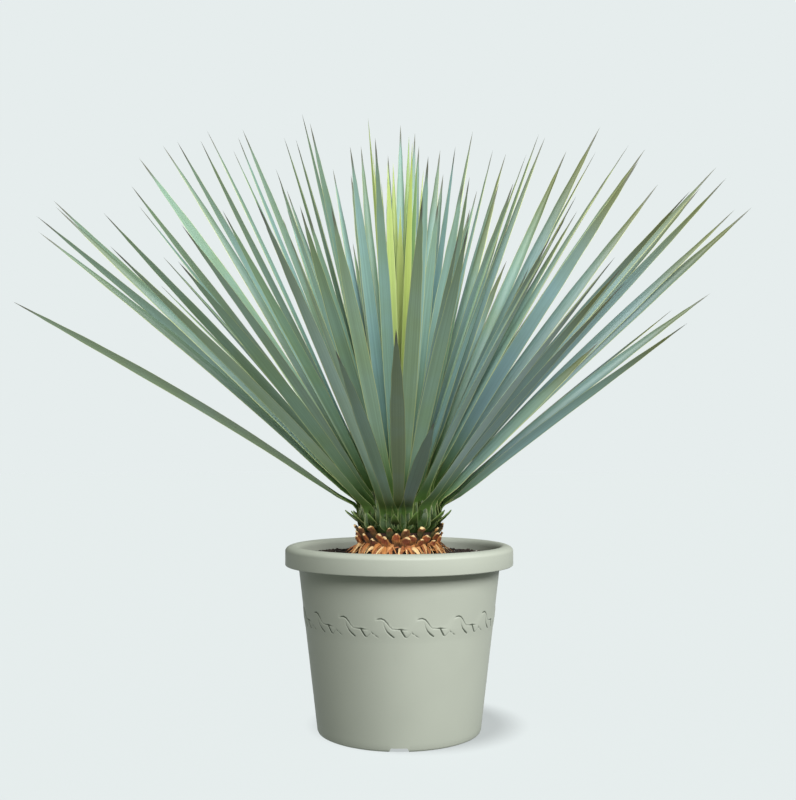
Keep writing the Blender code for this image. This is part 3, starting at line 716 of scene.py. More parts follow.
class Finish:
    """One material, built a few nodes at a time round its Principled shader."""

    def __init__(self, name, roughness):
        self.material = bpy.data.materials.new(name)
        self.material.use_nodes = True
        self.tree = self.material.node_tree
        self.shader = self.tree.nodes["Principled BSDF"]
        self.shader.inputs["Roughness"].default_value = roughness

    def put(self, socket, value):
        if isinstance(value, bpy.types.NodeSocket):
            self.tree.links.new(value, socket)
        elif socket.type == "RGBA" and len(value) == 3:
            socket.default_value = (*value, 1.0)
        else:
            socket.default_value = value

    def node(self, kind, inputs, **settings):
        made = self.tree.nodes.new(kind)
        for name, value in settings.items():
            setattr(made, name, value)
        for socket, value in inputs.items():
            self.put(made.inputs[socket], value)
        return made

    def values(self, *names):
        """The point values of these names, as sockets."""
        kind = "ShaderNodeAttribute"
        return [self.node(kind, {}, attribute_name=name).outputs["Fac"] for name in names]

    def place(self):
        return self.node("ShaderNodeTexCoord", {}).outputs["Object"]

    def maths(self, operation, first, second=0.0):
        return self.node("ShaderNodeMath", {0: first, 1: second}, operation=operation).outputs[0]

    def product(self, first, second):
        return self.maths("MULTIPLY", first, second)

    def span(self, value, low, high, start=0.0, end=1.0):
        """value carried smoothly from the range low to high onto the range start to end."""
        inputs = {0: value, 1: low, 2: high, 3: start, 4: end}
        return self.node("ShaderNodeMapRange", inputs, interpolation_type="SMOOTHSTEP").outputs[0]

    def mix(self, part, first, second, blend="MIX"):
        inputs = {0: part, 6: first, 7: second}
        return self.node("ShaderNodeMix", inputs, data_type="RGBA", blend_type=blend).outputs[2]

    def times(self, base, shade):
        return self.mix(1.0, base, shade, "MULTIPLY")

    def vector(self, x, y, z):
        return self.node("ShaderNodeCombineXYZ", {0: x, 1: y, 2: z}).outputs[0]

    def grain(self, across, wide, along, long, tone, apart):
        """Where a point lies in a grain drawn out along its blade, apart from those of other tones."""
        pairs = ((across, wide), (along, long), (tone, apart))
        return self.vector(*(self.product(value, times) for value, times in pairs))

    def noise(self, vector, scale, detail=3.0):
        inputs = {"Vector": vector, "Scale": scale, "Detail": detail}
        return self.node("ShaderNodeTexNoise", inputs).outputs["Fac"]

    def shaded(self, value, low, high):
        """A grey that runs from low to high as value runs from 0.3 to 0.7, to multiply a colour by."""
        return self.span(value, 0.3, 0.7, low, high)

    def coloured(self, base):
        self.put(self.shader.inputs["Base Color"], base)

    def bumped(self, height, distance, strength=1.0):
        inputs = {"Height": height, "Distance": distance, "Strength": strength}
        bump = self.node("ShaderNodeBump", inputs)
        self.put(self.shader.inputs["Normal"], bump.outputs["Normal"])

    def roughened(self, value, low, high):
        self.put(self.shader.inputs["Roughness"], self.span(value, 0.3, 0.7, low, high))


def plastic_finish(settings):
    finish = Finish("sage_plastic", settings.roughness)
    place = finish.place()
    mottle = finish.noise(place, 9.0, 2.0)
    grain = finish.noise(place, 900.0, 2.0)
    base = finish.times(settings.plastic, finish.shaded(mottle, 0.97, 1.03))
    # Painted shade: the deeper a vein is cut, the more the plastic turns to the dark vein colour
    gathered = finish.span(*finish.values("crease"), 0.07, 0.72, 0.0, 0.95)
    finish.coloured(finish.mix(gathered, base, settings.dust))
    finish.roughened(grain, settings.roughness - 0.06, settings.roughness + 0.06)
    finish.bumped(grain, 0.00010, 0.5)
    return finish.material


def soil_finish(settings):
    finish = Finish("potting_soil", 0.95)
    place = finish.place()
    lumps = finish.noise(place, 260.0, 6.0)
    base = finish.mix(finish.span(lumps, 0.45, 0.75), settings.soil, settings.crumb)
    finish.coloured(finish.times(base, finish.shaded(lumps, 0.55, 1.15)))
    finish.bumped(lumps, 0.0012)
    return finish.material


def crumb_finish(settings):
    finish = Finish("soil_crumbs", 0.92)
    tone, = finish.values("tone")
    pits = finish.noise(finish.place(), 900.0, 4.0)
    base = finish.mix(finish.span(tone, 0.0, 0.8), settings.soil, settings.crumb)
    base = finish.mix(finish.span(tone, 0.90, 0.92), base, settings.speck)
    finish.coloured(finish.times(base, finish.shaded(pits, 0.7, 1.15)))
    finish.bumped(pits, 0.0006)
    return finish.material


def bark_finish(settings):
    finish = Finish("stem_bark", 0.9)
    x, y, z = (finish.node("ShaderNodeSeparateXYZ", {0: finish.place()}).outputs[axis] for axis in range(3))
    fibres = finish.noise(finish.vector(x, y, finish.product(z, 0.2)), 500.0, 5.0)
    finish.coloured(finish.times(settings.bark, finish.shaded(fibres, 0.5, 1.3)))
    finish.bumped(fibres, 0.0010)
    return finish.material


def stub_finish(settings):
    finish = Finish("dry_stub", 0.75)
    across, along, tone, fresh = finish.values("across", "along", "tone", "fresh")
    flank = finish.maths("ABSOLUTE", across)
    fibres = finish.noise(finish.grain(across, 5.0, along, 0.8, tone, 37.0), 3.0, 4.0)
    face = finish.span(flank, 0.50, 0.92, 1.0, 0.0)
    face = finish.product(face, finish.span(along, 0.15, 0.55))
    base = finish.mix(face, settings.husk, settings.heartwood)
    base = finish.times(base, finish.shaded(fibres, 0.55, 1.25))
    base = finish.times(base, finish.span(tone, 0.0, 1.0, 0.42, 1.12))
    # Painted shade: each stub darkens towards its root, where it meets the stem and the stubs beside it
    base = finish.times(base, finish.span(along, 0.0, 0.50, 0.25, 1.0))
    fresh = finish.product(fresh, finish.span(along, 0.50, 0.9, 1.0, 0.35))
    base = finish.mix(fresh, base, settings.fresh)
    end = finish.span(finish.maths("ADD", along, finish.product(fibres, 0.10)), 0.92, 1.02)
    finish.coloured(finish.mix(end, base, settings.cut))
    finish.bumped(fibres, 0.0007)
    return finish.material


def fibre_finish(settings):
    finish = Finish("dry_fibre", 0.7)
    across, along, tone = finish.values("across", "along", "tone")
    threads = finish.noise(finish.grain(across, 2.0, along, 0.6, tone, 53.0), 3.0, 4.0)
    base = finish.mix(finish.span(tone, 0.55, 1.0, 0.0, 0.85), settings.fibre, settings.cut)
    base = finish.mix(finish.span(tone, 0.0, 0.35, 0.7, 0.0), base, settings.heartwood)
    base = finish.times(base, finish.shaded(threads, 0.55, 1.15))
    finish.coloured(finish.mix(finish.span(along, 0.0, 0.5, 0.9, 0.0), base, settings.heartwood))
    finish.bumped(threads, 0.0004)
    return finish.material


def leaf_strands(finish, across, along, tone):
    """Fine lines that run the length of a blade, different on each."""
    return finish.noise(finish.grain(across, 2.2, along, 0.5, tone, 61.0), 2.4, 1.5)


def leaf_finish(settings):
    finish = Finish("mature_leaf", settings.roughness)
    across, along, tone, hue, age, dry = finish.values("across", "along", *Looks._fields)
    flank = finish.maths("ABSOLUTE", across)
    fibres = leaf_strands(finish, across, along, tone)
    bloom = finish.noise(finish.place(), 14.0, 3.0)
    blue = finish.maths("ADD", hue, finish.span(bloom, 0.35, 0.65, -0.14, 0.14))
    base = finish.mix(blue, settings.green, settings.teal)
    # The tone varies at random from leaf to leaf, and also carries painted shade and painted light
    base = finish.times(base, finish.span(tone, 0.0, 1.0, 0.69, 1.27))
    base = finish.mix(finish.product(age, 0.75), base, settings.weathered)
    upper = finish.product(finish.span(along, 0.60, 0.92), dry)
    base = finish.mix(upper, base, settings.dried)
    # Painted shade: deep green towards the bases, then the dark crown colour at the blades' feet
    base = finish.mix(finish.span(along, 0.03, 0.30, 1.0, 0.0), base, settings.deep)
    base = finish.mix(finish.span(along, 0.0, 0.085, 1.0, 0.0), base, settings.crown)
    base = finish.times(base, finish.shaded(fibres, 0.88, 1.08))
    margin = finish.span(flank, 0.90, 0.97)
    margin = finish.product(margin, finish.span(along, 0.90, 0.97, 1.0, 0.0))
    margin = finish.product(margin, finish.span(upper, 0.0, 0.6, 0.7, 0.95))
    margin = finish.product(margin, finish.span(along, 0.0, 0.12, 0.30, 1.0))
    base = finish.mix(margin, base, settings.margin)
    finish.coloured(finish.mix(finish.span(along, 0.915, 0.97), base, settings.spine))
    finish.roughened(fibres, settings.roughness - 0.05, settings.roughness + 0.08)
    finish.bumped(fibres, 0.00020, 0.4)
    return finish.material


def crown_finish(settings):
    finish = Finish("leaf_crown", 0.6)
    across, along, tone = finish.values("across", "along", "tone")
    fibres = leaf_strands(finish, across, along, tone)
    # Painted shade: the crown is coloured dark, turning towards the deep green, itself painted shade, at the
    # scales' tips
    base = finish.times(settings.crown, finish.shaded(fibres, 0.70, 1.20))
    base = finish.times(base, finish.span(tone, 0.0, 1.0, 0.65, 1.25))
    base = finish.mix(finish.span(along, 0.2, 0.9, 0.0, 0.8), base, settings.deep)
    edge = finish.span(finish.maths("ABSOLUTE", across), 0.82, 0.97, 0.0, 0.28)
    finish.coloured(finish.mix(edge, base, settings.margin))
    finish.bumped(fibres, 0.0005, 0.6)
    return finish.material


def young_finish(settings):
    finish = Finish("young_leaf", 0.45)
    across, along, tone = finish.values("across", "along", "tone")
    flank = finish.maths("ABSOLUTE", across)
    fibres = leaf_strands(finish, across, along, tone)
    base = finish.mix(tone, settings.young, settings.grown)
    base = finish.mix(finish.span(along, 0.0, 0.35, 0.8, 0.0), base, settings.grown)
    base = finish.times(base, finish.shaded(fibres, 0.90, 1.08))
    finish.coloured(finish.mix(finish.span(flank, 0.80, 0.95, 0.0, 0.8), base, settings.margin))
    finish.bumped(fibres, 0.00025, 0.6)
    return finish.material


def floor_finish(settings):
    """Pale floor that mostly shows its own even colour and takes only a faint shade."""
    finish = Finish("pale_floor", 1.0)
    lit = FLOOR_SHADE * (settings.ambient + FLOOR_SUN * FLOOR_SUN_FROM.z / math.pi)
    finish.shader.inputs["Specular IOR Level"].default_value = 0.0
    finish.coloured(tuple(FLOOR_SHADE * level for level in settings.backdrop))
    finish.put(finish.shader.inputs["Emission Color"], tuple(settings.backdrop))
    finish.shader.inputs["Emission Strength"].default_value = 1.0 - lit
    return finish.material


# Pot


def wall_radius(height):
    return WALL_FOOT_RADIUS + WALL_TAPER * height


def vein_at(place, lines, width):
    """How deep the veins run at a place, from 0 to 1."""
    deepest = 0.0
    for start, end, first, last in lines:
        run = end - start
        part = limited((place - start).dot(run) / run.length_squared)
        depth = between((first, last), part)
        aside = (place - start - run * part).length
        mouth = width * between(VEIN_MOUTH, depth)
        deepest = max(deepest, depth * (1.0 - smooth(VEIN_LEVEL * mouth, mouth, aside)))
    return deepest


def vein_lines(pitch, tall):
    """Straight runs of all the veins, with those of the units on either side."""
    lines = []
    for vein in VEINS:
        for turn in (-1, 0, 1):
            points = [Vector(((along + turn) * pitch, up * tall)) for along, up, _ in vein]
            depths = [depth for _, _, depth in vein]
            lines += zip(points, points[1:], depths, depths[1:])
    return lines


def unit_relief(settings):
    """Lift and crease of one running leaf over its columns and the band's rows."""
    pitch = 2 * math.pi * wall_radius((BAND_FOOT + BAND_TOP) / 2) / settings.units
    tall = BAND_TOP - BAND_FOOT
    lines = vein_lines(pitch, tall)
    rows = []
    for row in range(BAND_ROWS + 1):
        up = row / BAND_ROWS
        columns = []
        for column in range(UNIT_COLUMNS):
            along = column / UNIT_COLUMNS
            place = Vector((along * pitch, up * tall))
            melting = smooth(*SOFT_EDGE[:2], along) * (1.0 - smooth(*SOFT_EDGE[2:], along))
            soft = between(SOFTNESS, melting)
            body = 1.0 - smooth(-soft, soft, up - profile_value(LEAF_EDGE, along))
            body *= smooth(0.0, LEAF_RISE, up)
            crease = vein_at(place, lines, settings.vein_width)
            columns.append((settings.lift * body - settings.vein_depth * crease, crease))
        rows.append(columns)
    return rows


def pot_profile():
    """Radius and height from the underside out and up to the band, and on from it to the floor."""
    bore = FOOT_RADIUS - FOOT_RING_WIDTH
    below = [(bore - FOOT_DRAFT, FLOOR_UNDERSIDE), (bore, 0.0), (FOOT_RADIUS, 0.0)]
    below += [(WALL_FOOT_RADIUS - EDGE_ROUND / 2, EDGE_ROUND)]
    plain = (3 * EDGE_ROUND, 2 * NOTCH_HEIGHT, *WALL_BELOW)
    below += [(wall_radius(height), height) for height in plain]
    hollow = RIM_RADIUS - WALL_THICKNESS
    above = [(wall_radius(height), height) for height in (*WALL_ABOVE, RIM_EDGE, RIM_HOLLOW_TOP)]
    above += [(hollow, RIM_HOLLOW_TOP), (hollow, RIM_EDGE + EDGE_ROUND)]
    lip = (RIM_RADIUS - WALL_THICKNESS / 2, RIM_EDGE + 1.5 * EDGE_ROUND)
    above += arc(lip, (WALL_THICKNESS / 2, 1.5 * EDGE_ROUND), 180, 360, LIP_STEPS)
    crest = (RIM_CREST_RADIUS, RIM_SHOULDER)
    above += arc(crest, (RIM_RADIUS - RIM_CREST_RADIUS, POT_HEIGHT - RIM_SHOULDER), 0, 90, CREST_STEPS)
    inner = wall_radius(INNER_LIP) - WALL_THICKNESS
    crest = (RIM_CREST_RADIUS, INNER_LIP)
    radii = (RIM_CREST_RADIUS - inner, POT_HEIGHT - INNER_LIP)
    above += arc(crest, radii, 90, 180, INNER_CREST_STEPS)[1:]
    low = FLOOR_TOP + FLOOR_FILLET
    above += [(wall_radius(height) - WALL_THICKNESS, height) for height in (*WALL_INSIDE, low)]
    centre = (wall_radius(FLOOR_TOP) - WALL_THICKNESS - FLOOR_FILLET, low)
    above += arc(centre, (FLOOR_FILLET, FLOOR_FILLET), 0, -90, FILLET_STEPS)[1:]
    return below, above


def pot_mesh(settings, material):
    below, above = pot_profile()
    relief = unit_relief(settings)
    band_columns = UNIT_COLUMNS * settings.units
    turn = round(band_columns * BAND_START / (2 * math.pi))
    shell = Gathered("crease")
    loops = shell.add_rings(below, COLUMNS, 0.0)
    for row, lifts in enumerate(relief):
        height = between((BAND_FOOT, BAND_TOP), row / BAND_ROWS)
        unit = [lifts[(column - turn) % UNIT_COLUMNS] for column in range(band_columns)]
        places = ring(lambda column: wall_radius(height) + unit[column][0], height, band_columns)
        loops.append(shell.add_loop(places, [(crease,) for _, crease in unit]))
    loops += shell.add_rings(above, COLUMNS, 0.0)
    shell.close(loops, FLOOR_UNDERSIDE, FLOOR_TOP, 0.0)
    return shell.make("pot_shell", material, SHARP)


def cutter(collection, name, ends, turn):
    """A solid between two outlines, turned about the pot's axis."""
    body = Gathered()
    loops = [body.add_loop([turn @ place for place in outline], [()] * len(outline)) for outline in ends]
    body.skin(loops)
    body.faces += [tuple(reversed(loops[0])), tuple(loops[-1])]
    piece = body.make(name, None)
    bpy.context.scene.collection.objects.unlink(piece)
    collection.objects.link(piece)


def cut_openings(pot):
    """Cuts the notches in the foot ring and the drainage holes, then clears the cutters away."""
    cutters = bpy.data.collections.new("pot_cutters")
    bpy.context.scene.collection.children.link(cutters)
    half, top = NOTCH_WIDTH / 2, NOTCH_TOP_WIDTH / 2
    corners = ((half, -CUT_PAST), (-half, -CUT_PAST), (-top, NOTCH_HEIGHT), (top, NOTCH_HEIGHT))
    ends = [[Vector((x, y, z)) for x, z in corners] for y in NOTCH_REACH]
    for notch in range(NOTCHES):
        cutter(cutters, f"notch_{notch}", ends, turn_about("Z", 360 * notch / NOTCHES))
    middle = Vector((DRAIN_CIRCLE, 0.0, 0.0))
    ends = [
        [middle + place for place in ring(DRAIN_RADIUS, height, DRAIN_SIDES)]
        for height in (-CUT_PAST, FLOOR_TOP + CUT_PAST)
    ]
    for hole in range(DRAIN_HOLES):
        cutter(cutters, f"drain_{hole}", ends, turn_about("Z", 360 * (hole + 0.5) / DRAIN_HOLES))
    boolean = pot.modifiers.new("openings", "BOOLEAN")
    boolean.operation = "DIFFERENCE"
    boolean.solver = "MANIFOLD"
    boolean.operand_type = "COLLECTION"
    boolean.collection = cutters
    graph = bpy.context.evaluated_depsgraph_get()
    cut = bpy.data.meshes.new_from_object(pot.evaluated_get(graph))
    cut.set_sharp_from_angle(angle=math.radians(SHARP))
    pot.modifiers.clear()
    pot.data = cut
    for item in list(cutters.objects):
        bpy.data.objects.remove(item, do_unlink=True)
    bpy.data.collections.remove(cutters)


# Soil


def soil_place(x, y):
    """A point of the soil's lumpy top, level close to the stem."""
    free = smooth(*SOIL_LEVEL, math.hypot(x, y))
    lumps = noise.fractal(Vector(SOIL_LUMPS_PER_METRE * at for at in (x, y, 0.0)), *SOIL_ROUGHNESS)
    lumpy = max(-SOIL_LUMP_LIMIT, min(SOIL_LUMP_LIMIT, SOIL_RISE + SOIL_LUMP * lumps))
    rise = free * lumpy + SOIL_LUMP_NEAR_STEM * (1 - free) * lumps
    return Vector((x, y, min(SOIL_TOP + rise, SOIL_HIGH.z)))


def soil_bed(settings):
    bed = Gathered()
    low, high = FLOOR_TOP + GAP, STEM_FOOT - GAP
    edges = (wall_radius(SOIL_TOP) - WALL_THICKNESS - 2 * GAP, STEM_RADIUS + GAP)
    loops = bed.add_rings([(wall_radius(FLOOR_TOP) - WALL_THICKNESS - 2 * GAP, low)], SOIL_COLUMNS)
    for step in range(SOIL_RINGS + 1):
        level = ring(between(edges, step / SOIL_RINGS), 0.0, SOIL_COLUMNS)
        loops.append(bed.add_loop([soil_place(place.x, place.y) for place in level], [()] * SOIL_COLUMNS))
    loops += bed.add_rings([(edges[1], high)], SOIL_COLUMNS)
    bed.close(loops, low, high)
    return bed.make("soil_bed", soil_finish(settings), SOIL_SHARP)


def ball():
    """Corners and faces of a twenty-faced ball of radius 1."""
    golden = (1 + math.sqrt(5)) / 2
    corners = []
    for first in (-1, 1):
        for second in (-golden, golden):
            corners += [Vector((0, first, second)), Vector((first, second, 0)), Vector((second, 0, first))]
    corners = [corner.normalized() for corner in corners]
    near = 1.1
    faces = []
    for i, a in enumerate(corners):
        for j in range(i + 1, len(corners)):
            for k in range(j + 1, len(corners)):
                b, c = corners[j], corners[k]
                if max((a - b).length, (b - c).length, (a - c).length) < near:
                    outward = (b - a).cross(c - a).dot(a) > 0
                    faces.append((i, j, k) if outward else (i, k, j))
    return corners, faces


def soil_crumbs(settings):
    draw = random.Random(CRUMB_SEED)
    corners, faces = ball()
    crumbs = Gathered("tone")
    outer = wall_radius(SOIL_TOP) - WALL_THICKNESS - CRUMB_EDGE
    for _ in range(settings.crumbs):
        radius = math.sqrt(between((CRUMB_INNER_RADIUS**2, outer**2), draw.random()))
        angle = draw.uniform(0, 2 * math.pi)
        speck = draw.random() < settings.speck_share
        large = settings.crumb_size * draw.uniform(*(SPECK_SIZES if speck else CRUMB_SIZES))
        stretch = Vector(draw.uniform(*limits) for limits in CRUMB_STRETCH)
        turn = Matrix.Rotation(draw.uniform(0, math.pi), 3, "Z")
        turn = turn @ Matrix.Rotation(draw.uniform(-CRUMB_TILT, CRUMB_TILT), 3, "X")
        ground = soil_place(radius * math.cos(angle), radius * math.sin(angle))
        height = min(ground.z + CRUMB_RAISED * large, SOIL_HIGH.z + CRUMB_ABOVE_SOIL)
        centre = Vector((ground.x, ground.y, height))
        tone = draw.uniform(*(SPECK_TONES if speck else CRUMB_TONES))
        first = len(crumbs.points)
        for corner in corners:
            knob = corner * (large * draw.uniform(*CRUMB_KNOBS))
            crumbs.add_point(centre + turn @ Vector(a * b for a, b in zip(knob, stretch)), tone)
        crumbs.faces += [tuple(first + corner for corner in face) for face in faces]
    return crumbs.make("soil_crumbs", crumb_finish(settings), CRUMB_SHARP)


# Stem


def add_scale(gathered, start, along, side, scale, looks):
    """A thick scale from start that ends round or in a point, and bows away from what it grows on."""
    thick = along.cross(side)
    loops = []
    for station in SCALE_STATIONS:
        part = max(0.0, station)
        reach = station * (scale.root if station < 0 else scale.length)
        centre = start + along * reach - thick * (scale.bow * part * part)
        past = max(0.0, (part - scale.round_from) / (1.0 - scale.round_from))
        taper = between((math.sqrt(1.0 - past * past), 1.0 - past), scale.pointed)
        half = 0.5 * scale.width * taper * between(SCALE_WIDTH, smooth(0.0, SCALE_WIDEST, part))
        deep = 0.5 * scale.thickness * between(SCALE_THICK, part) * taper**SCALE_THINS
        places = []
        rows = []
        for corner in range(SCALE_SIDES):
            angle = 2 * math.pi * corner / SCALE_SIDES
            across, up = math.cos(angle), math.sin(angle)
            flat = 1.0 - SCALE_FLAT * across * across
            place = centre + side * (half * across) + thick * (deep * up * flat)
            places.append(place + noise.noise_vector(place * SCALE_GRAIN) * scale.rough)
            rows.append((across, part, *looks))
        loops.append(gathered.add_loop(places, rows))
    gathered.skin(loops)
    gathered.fan(loops[0][::-1], gathered.add_point(start - along * scale.root, 0.0, 0.0, *looks))
    end = start + along * scale.length - thick * scale.bow
    gathered.fan(loops[-1], gathered.add_point(end, 0.0, 1.0, *looks))


def stub_places(rows, radius):
    """Row, level, start, direction, side and stretch of every stub, set half a step on from row to row."""
    draw = random.Random(STUB_SEED)
    for level, row in enumerate(rows):
        for number in range(row.count):
            steps = number + 0.5 * (level % 2) + draw.uniform(-STUB_WANDER, STUB_WANDER)
            angle = 2 * math.pi * steps / row.count
            tilt = draw.uniform(-STUB_TILT, STUB_TILT)
            stretch = draw.uniform(*STUB_STRETCH)
            outward = Vector((math.cos(angle), math.sin(angle), 0.0))
            side = Vector((-math.sin(angle), math.cos(angle), 0.0))
            along = heading(90 - row.lift - tilt, angle)
            yield row, level, outward * radius + UP * row.height, along, side, stretch


def stem_core(settings):
    core = Gathered()
    profile = [
        (STEM_RADIUS - STEM_CHAMFER, STEM_FOOT),
        (STEM_RADIUS, STEM_FOOT + 2 * STEM_CHAMFER),
        (STEM_RADIUS, STEM_TOP - STEM_CHAMFER),
        (STEM_RADIUS - STEM_CHAMFER, STEM_TOP),
    ]
    core.close(core.add_rings(profile, CROWN_COLUMNS), STEM_FOOT, STEM_TOP)
    return core.make("stem_core", bark_finish(settings))


def varied(along, side, draw):
    """A stub's directions, turned a little on its own."""
    turn = turn_about(along, draw.uniform(-STUB_ROLL, STUB_ROLL))
    turn = turn_about(along.cross(side), draw.uniform(-STUB_SWAY, STUB_SWAY)) @ turn
    return turn @ along, turn @ side


def stem_stubs(settings):
    draw = random.Random(STUB_LOOKS_SEED)
    noise.seed_set(ROUGH_SEED)
    stubs = Gathered("across", "along", "tone", "fresh")
    for row, level, start, along, side, stretch in stub_places(STUB_ROWS, STEM_RADIUS):
        if level == FIBRE_LEVEL:
            continue
        along, side = varied(along, side, draw)
        width = row.width * draw.uniform(*STUB_BREADTH)
        start = start + UP * draw.uniform(*STUB_RISE)
        cut = draw.uniform(*STUB_CUT)
        length = row.length * stretch
        scale = Scale(length, width, STUB_THICK, STUB_ROOT, STUB_BOW, cut, STUB_POINTED, STUB_ROUGH)
        fresh = draw.uniform(*STUB_FRESH) if level == FRESH_LEVEL else 0.0
        add_scale(stubs, start, along, side, scale, (draw.random(), fresh))
    return stubs.make("stem_stubs", stub_finish(settings), SHARP)


def add_fibre(gathered, start, along, side, shape, tone):
    """A flat dry fibre that arches down; shape is its length, width, droop, bend and turn on edge."""
    length, width, droop, bend, edge = shape
    wide = (side + UP * edge).normalized()
    loops = []
    for step in range(FIBRE_STEPS + 1):
        part = step / FIBRE_STEPS
        centre = start + along * (length * part) - UP * (droop * part**FIBRE_ARCH)
        centre += side * (bend * part * part)
        half = 0.5 * width * (1.0 - part**FIBRE_TAPER[0]) ** FIBRE_TAPER[1] + FIBRE_HALF_TIP
        deep = FIBRE_THICK * (FIBRE_THINS - part)
        middle = centre + UP * (FIBRE_FOLD * half)
        places = [centre - wide * half, middle + UP * deep, centre + wide * half, middle - UP * deep]
        loops.append(gathered.add_loop(places, [(across, part, tone) for across in (-1, 0, 1, 0)]))
    gathered.skin(loops)
    gathered.faces += [tuple(reversed(loops[0])), tuple(loops[-1])]


def stub_fibres(settings):
    draw = random.Random(FIBRE_SEED)
    fibres = Gathered("across", "along", "tone")
    for row, _, start, along, side, stretch in stub_places([STUB_ROWS[FIBRE_LEVEL]], STEM_RADIUS):
        for _ in range(settings.fibres):
            swing = draw.uniform(-FIBRE_SPREAD, FIBRE_SPREAD)
            turned = Matrix.Rotation(swing, 3, "Z")
            lifted = turned @ turn_about(side, draw.uniform(*FIBRE_LIFT)) @ along
            rise = draw.uniform(*FIBRE_RISE)
            root = start + side * (draw.uniform(-0.5, 0.5) * row.width)
            root += UP * rise - lifted * FIBRE_SUNK
            length = row.length * stretch * draw.uniform(*FIBRE_STRETCH) + FIBRE_SUNK
            width = settings.fibre_width * draw.uniform(*FIBRE_BREADTH)
            droop = root.z + lifted.z * length - draw.uniform(*FIBRE_TIPS)
            edge = FIBRE_ON_EDGE * swing + draw.uniform(-FIBRE_EDGE_WANDER, FIBRE_EDGE_WANDER)
            shape = (length, width, max(0.0, droop), draw.uniform(-FIBRE_BEND, FIBRE_BEND), edge)
            add_fibre(fibres, root, lifted, turned @ side, shape, draw.random())
    return fibres.make("stub_fibres", fibre_finish(settings), FIBRE_SHARP)


# Leaves


def centre_line(leaf, place):
    """A cubic curve that starts steeper than the straight line to the tip, and settles on the way."""
    chord = leaf.tip - leaf.root
    level = Vector((chord.x, chord.y, 0.0))
    hinge = level.cross(UP).normalized()
    first = turn_about(hinge, leaf.rise) @ chord / 3
    last = turn_about(hinge, -leaf.settle) @ chord / 3
    near = leaf.root + first
    far = leaf.tip - last
    back = 1 - place
    return (
        leaf.root * back**3 + near * (3 * back * back * place)
        + far * (3 * back * place * place) + leaf.tip * place**3
    )


def crown_radius(height):
    low = CROWN_PROFILE[0][1]
    if height <= low:
        return CROWN_PROFILE[0][0]
    for (first, low), (second, high) in zip(CROWN_PROFILE, CROWN_PROFILE[1:]):
        if height <= high:
            return between((first, second), (height - low) / (high - low))
    return CROWN_PROFILE[-1][0]


def past_crown(leaf, place):
    """Metres along the blade past the place where it leaves the crown."""
    return place * (leaf.tip - leaf.root).length - BLADE_ROOT


def base_depth(leaf):
    """How far below the place where it leaves the crown the blade's base reaches."""
    leaving = centre_line(leaf, BLADE_ROOT / (leaf.tip - leaf.root).length)
    return min(BASE_DEPTH, max(BASE_LEAST, leaving.z - BASE_FOOT))


def clasped_line(leaf, place):
    """The blade's line, which below the place where it leaves the crown runs down against it."""
    past = past_crown(leaf, place)
    free = smooth(*CLASP_BEND, past)
    curve = centre_line(leaf, max(0.0, place))
    if free == 1.0:
        return curve
    leaving = centre_line(leaf, BLADE_ROOT / (leaf.tip - leaf.root).length)
    outward = Vector((leaving.x, leaving.y, 0.0)).normalized()
    height = max(CROWN_PROFILE[0][1] + CLASP_LOWEST, leaving.z + past)
    sunk = between((CLASP_PROUD, -CLASP_SUNK), smooth(*CLASP_SINKS, -past))
    radius = (crown_radius(height) if past < 0 else crown_radius(leaving.z)) + sunk
    against = outward * radius + UP * height
    return against.lerp(curve, free)


def blade_frame(leaf, place, line):
    """Centre, side and under directions of a blade at a place along it."""
    before = line(leaf, max(BLADE_START, place - BLADE_STEP))
    along = (line(leaf, min(1.0, place + BLADE_STEP)) - before).normalized()
    chord = leaf.tip - leaf.root
    side = Vector((-chord.y, chord.x, 0.0)).normalized()
    side = (side - along * side.dot(along)).normalized()
    turn = leaf.roll * smooth(*BLADE_NECK, place) + leaf.twist * place
    side = turn_about(along, turn) @ side
    return line(leaf, place), side, along.cross(side)


def root_on_crown(direction):
    """Where a leaf that heads this way leaves the crown, set back inside it by the root's length."""
    low, high = SPIRAL_LEAN
    part = limited((lean_of(direction) - low) / (high - low))
    polar = math.radians(between((SPIRAL_TOP, SPIRAL_BOTTOM), part))
    azimuth = math.atan2(direction.y, direction.x)
    radius = CROWN_RADIUS * math.sin(polar)
    height = CROWN_WAIST + CROWN_RISE * math.cos(polar)
    surface = Vector((radius * math.cos(azimuth), radius * math.sin(azimuth), height))
    return surface - direction.normalized() * BLADE_ROOT


def leaf_to(tip, draw, roll, width):
    """A leaf from the crown to this tip, its width, bow and twist drawn at random."""
    root = root_on_crown(tip - FAN_CENTRE)
    lean = lean_of(tip - root)
    rise = BLADE_RISE * lean + draw.uniform(*RISE_WANDER)
    settle = BLADE_SETTLE * lean + draw.uniform(*SETTLE_WANDER)
    wide = width * draw.uniform(*BLADE_SPREAD)
    return Leaf(root, tip, rise, settle, wide, roll, draw.uniform(-BLADE_TWIST, BLADE_TWIST))


def fan_leaves(width):
    """The leaves that draw the outline seen from in front."""
    draw = random.Random(FAN_SEED)
    leaves = []
    for lean, reach, depth, facing in LEFT_FAN + RIGHT_FAN:
        turn = math.radians(lean)
        seen = FAN_CENTRE + reach * Vector((math.sin(turn), 0.0, math.cos(turn)))
        tip = EYE + (seen - EYE) * (1.0 - depth / EYE.y)
        aside = abs(math.sin(math.atan2(tip.x, tip.y)))
        leaves.append(leaf_to(tip, draw, facing * aside, width))
    return leaves


def as_seen(tip):
    """Lean in degrees and reach of a tip, as seen from in front."""
    seen = EYE + (tip - EYE) * (EYE.y / (EYE.y - tip.y)) - FAN_CENTRE
    return math.degrees(math.atan2(seen.x, seen.z)), seen.length


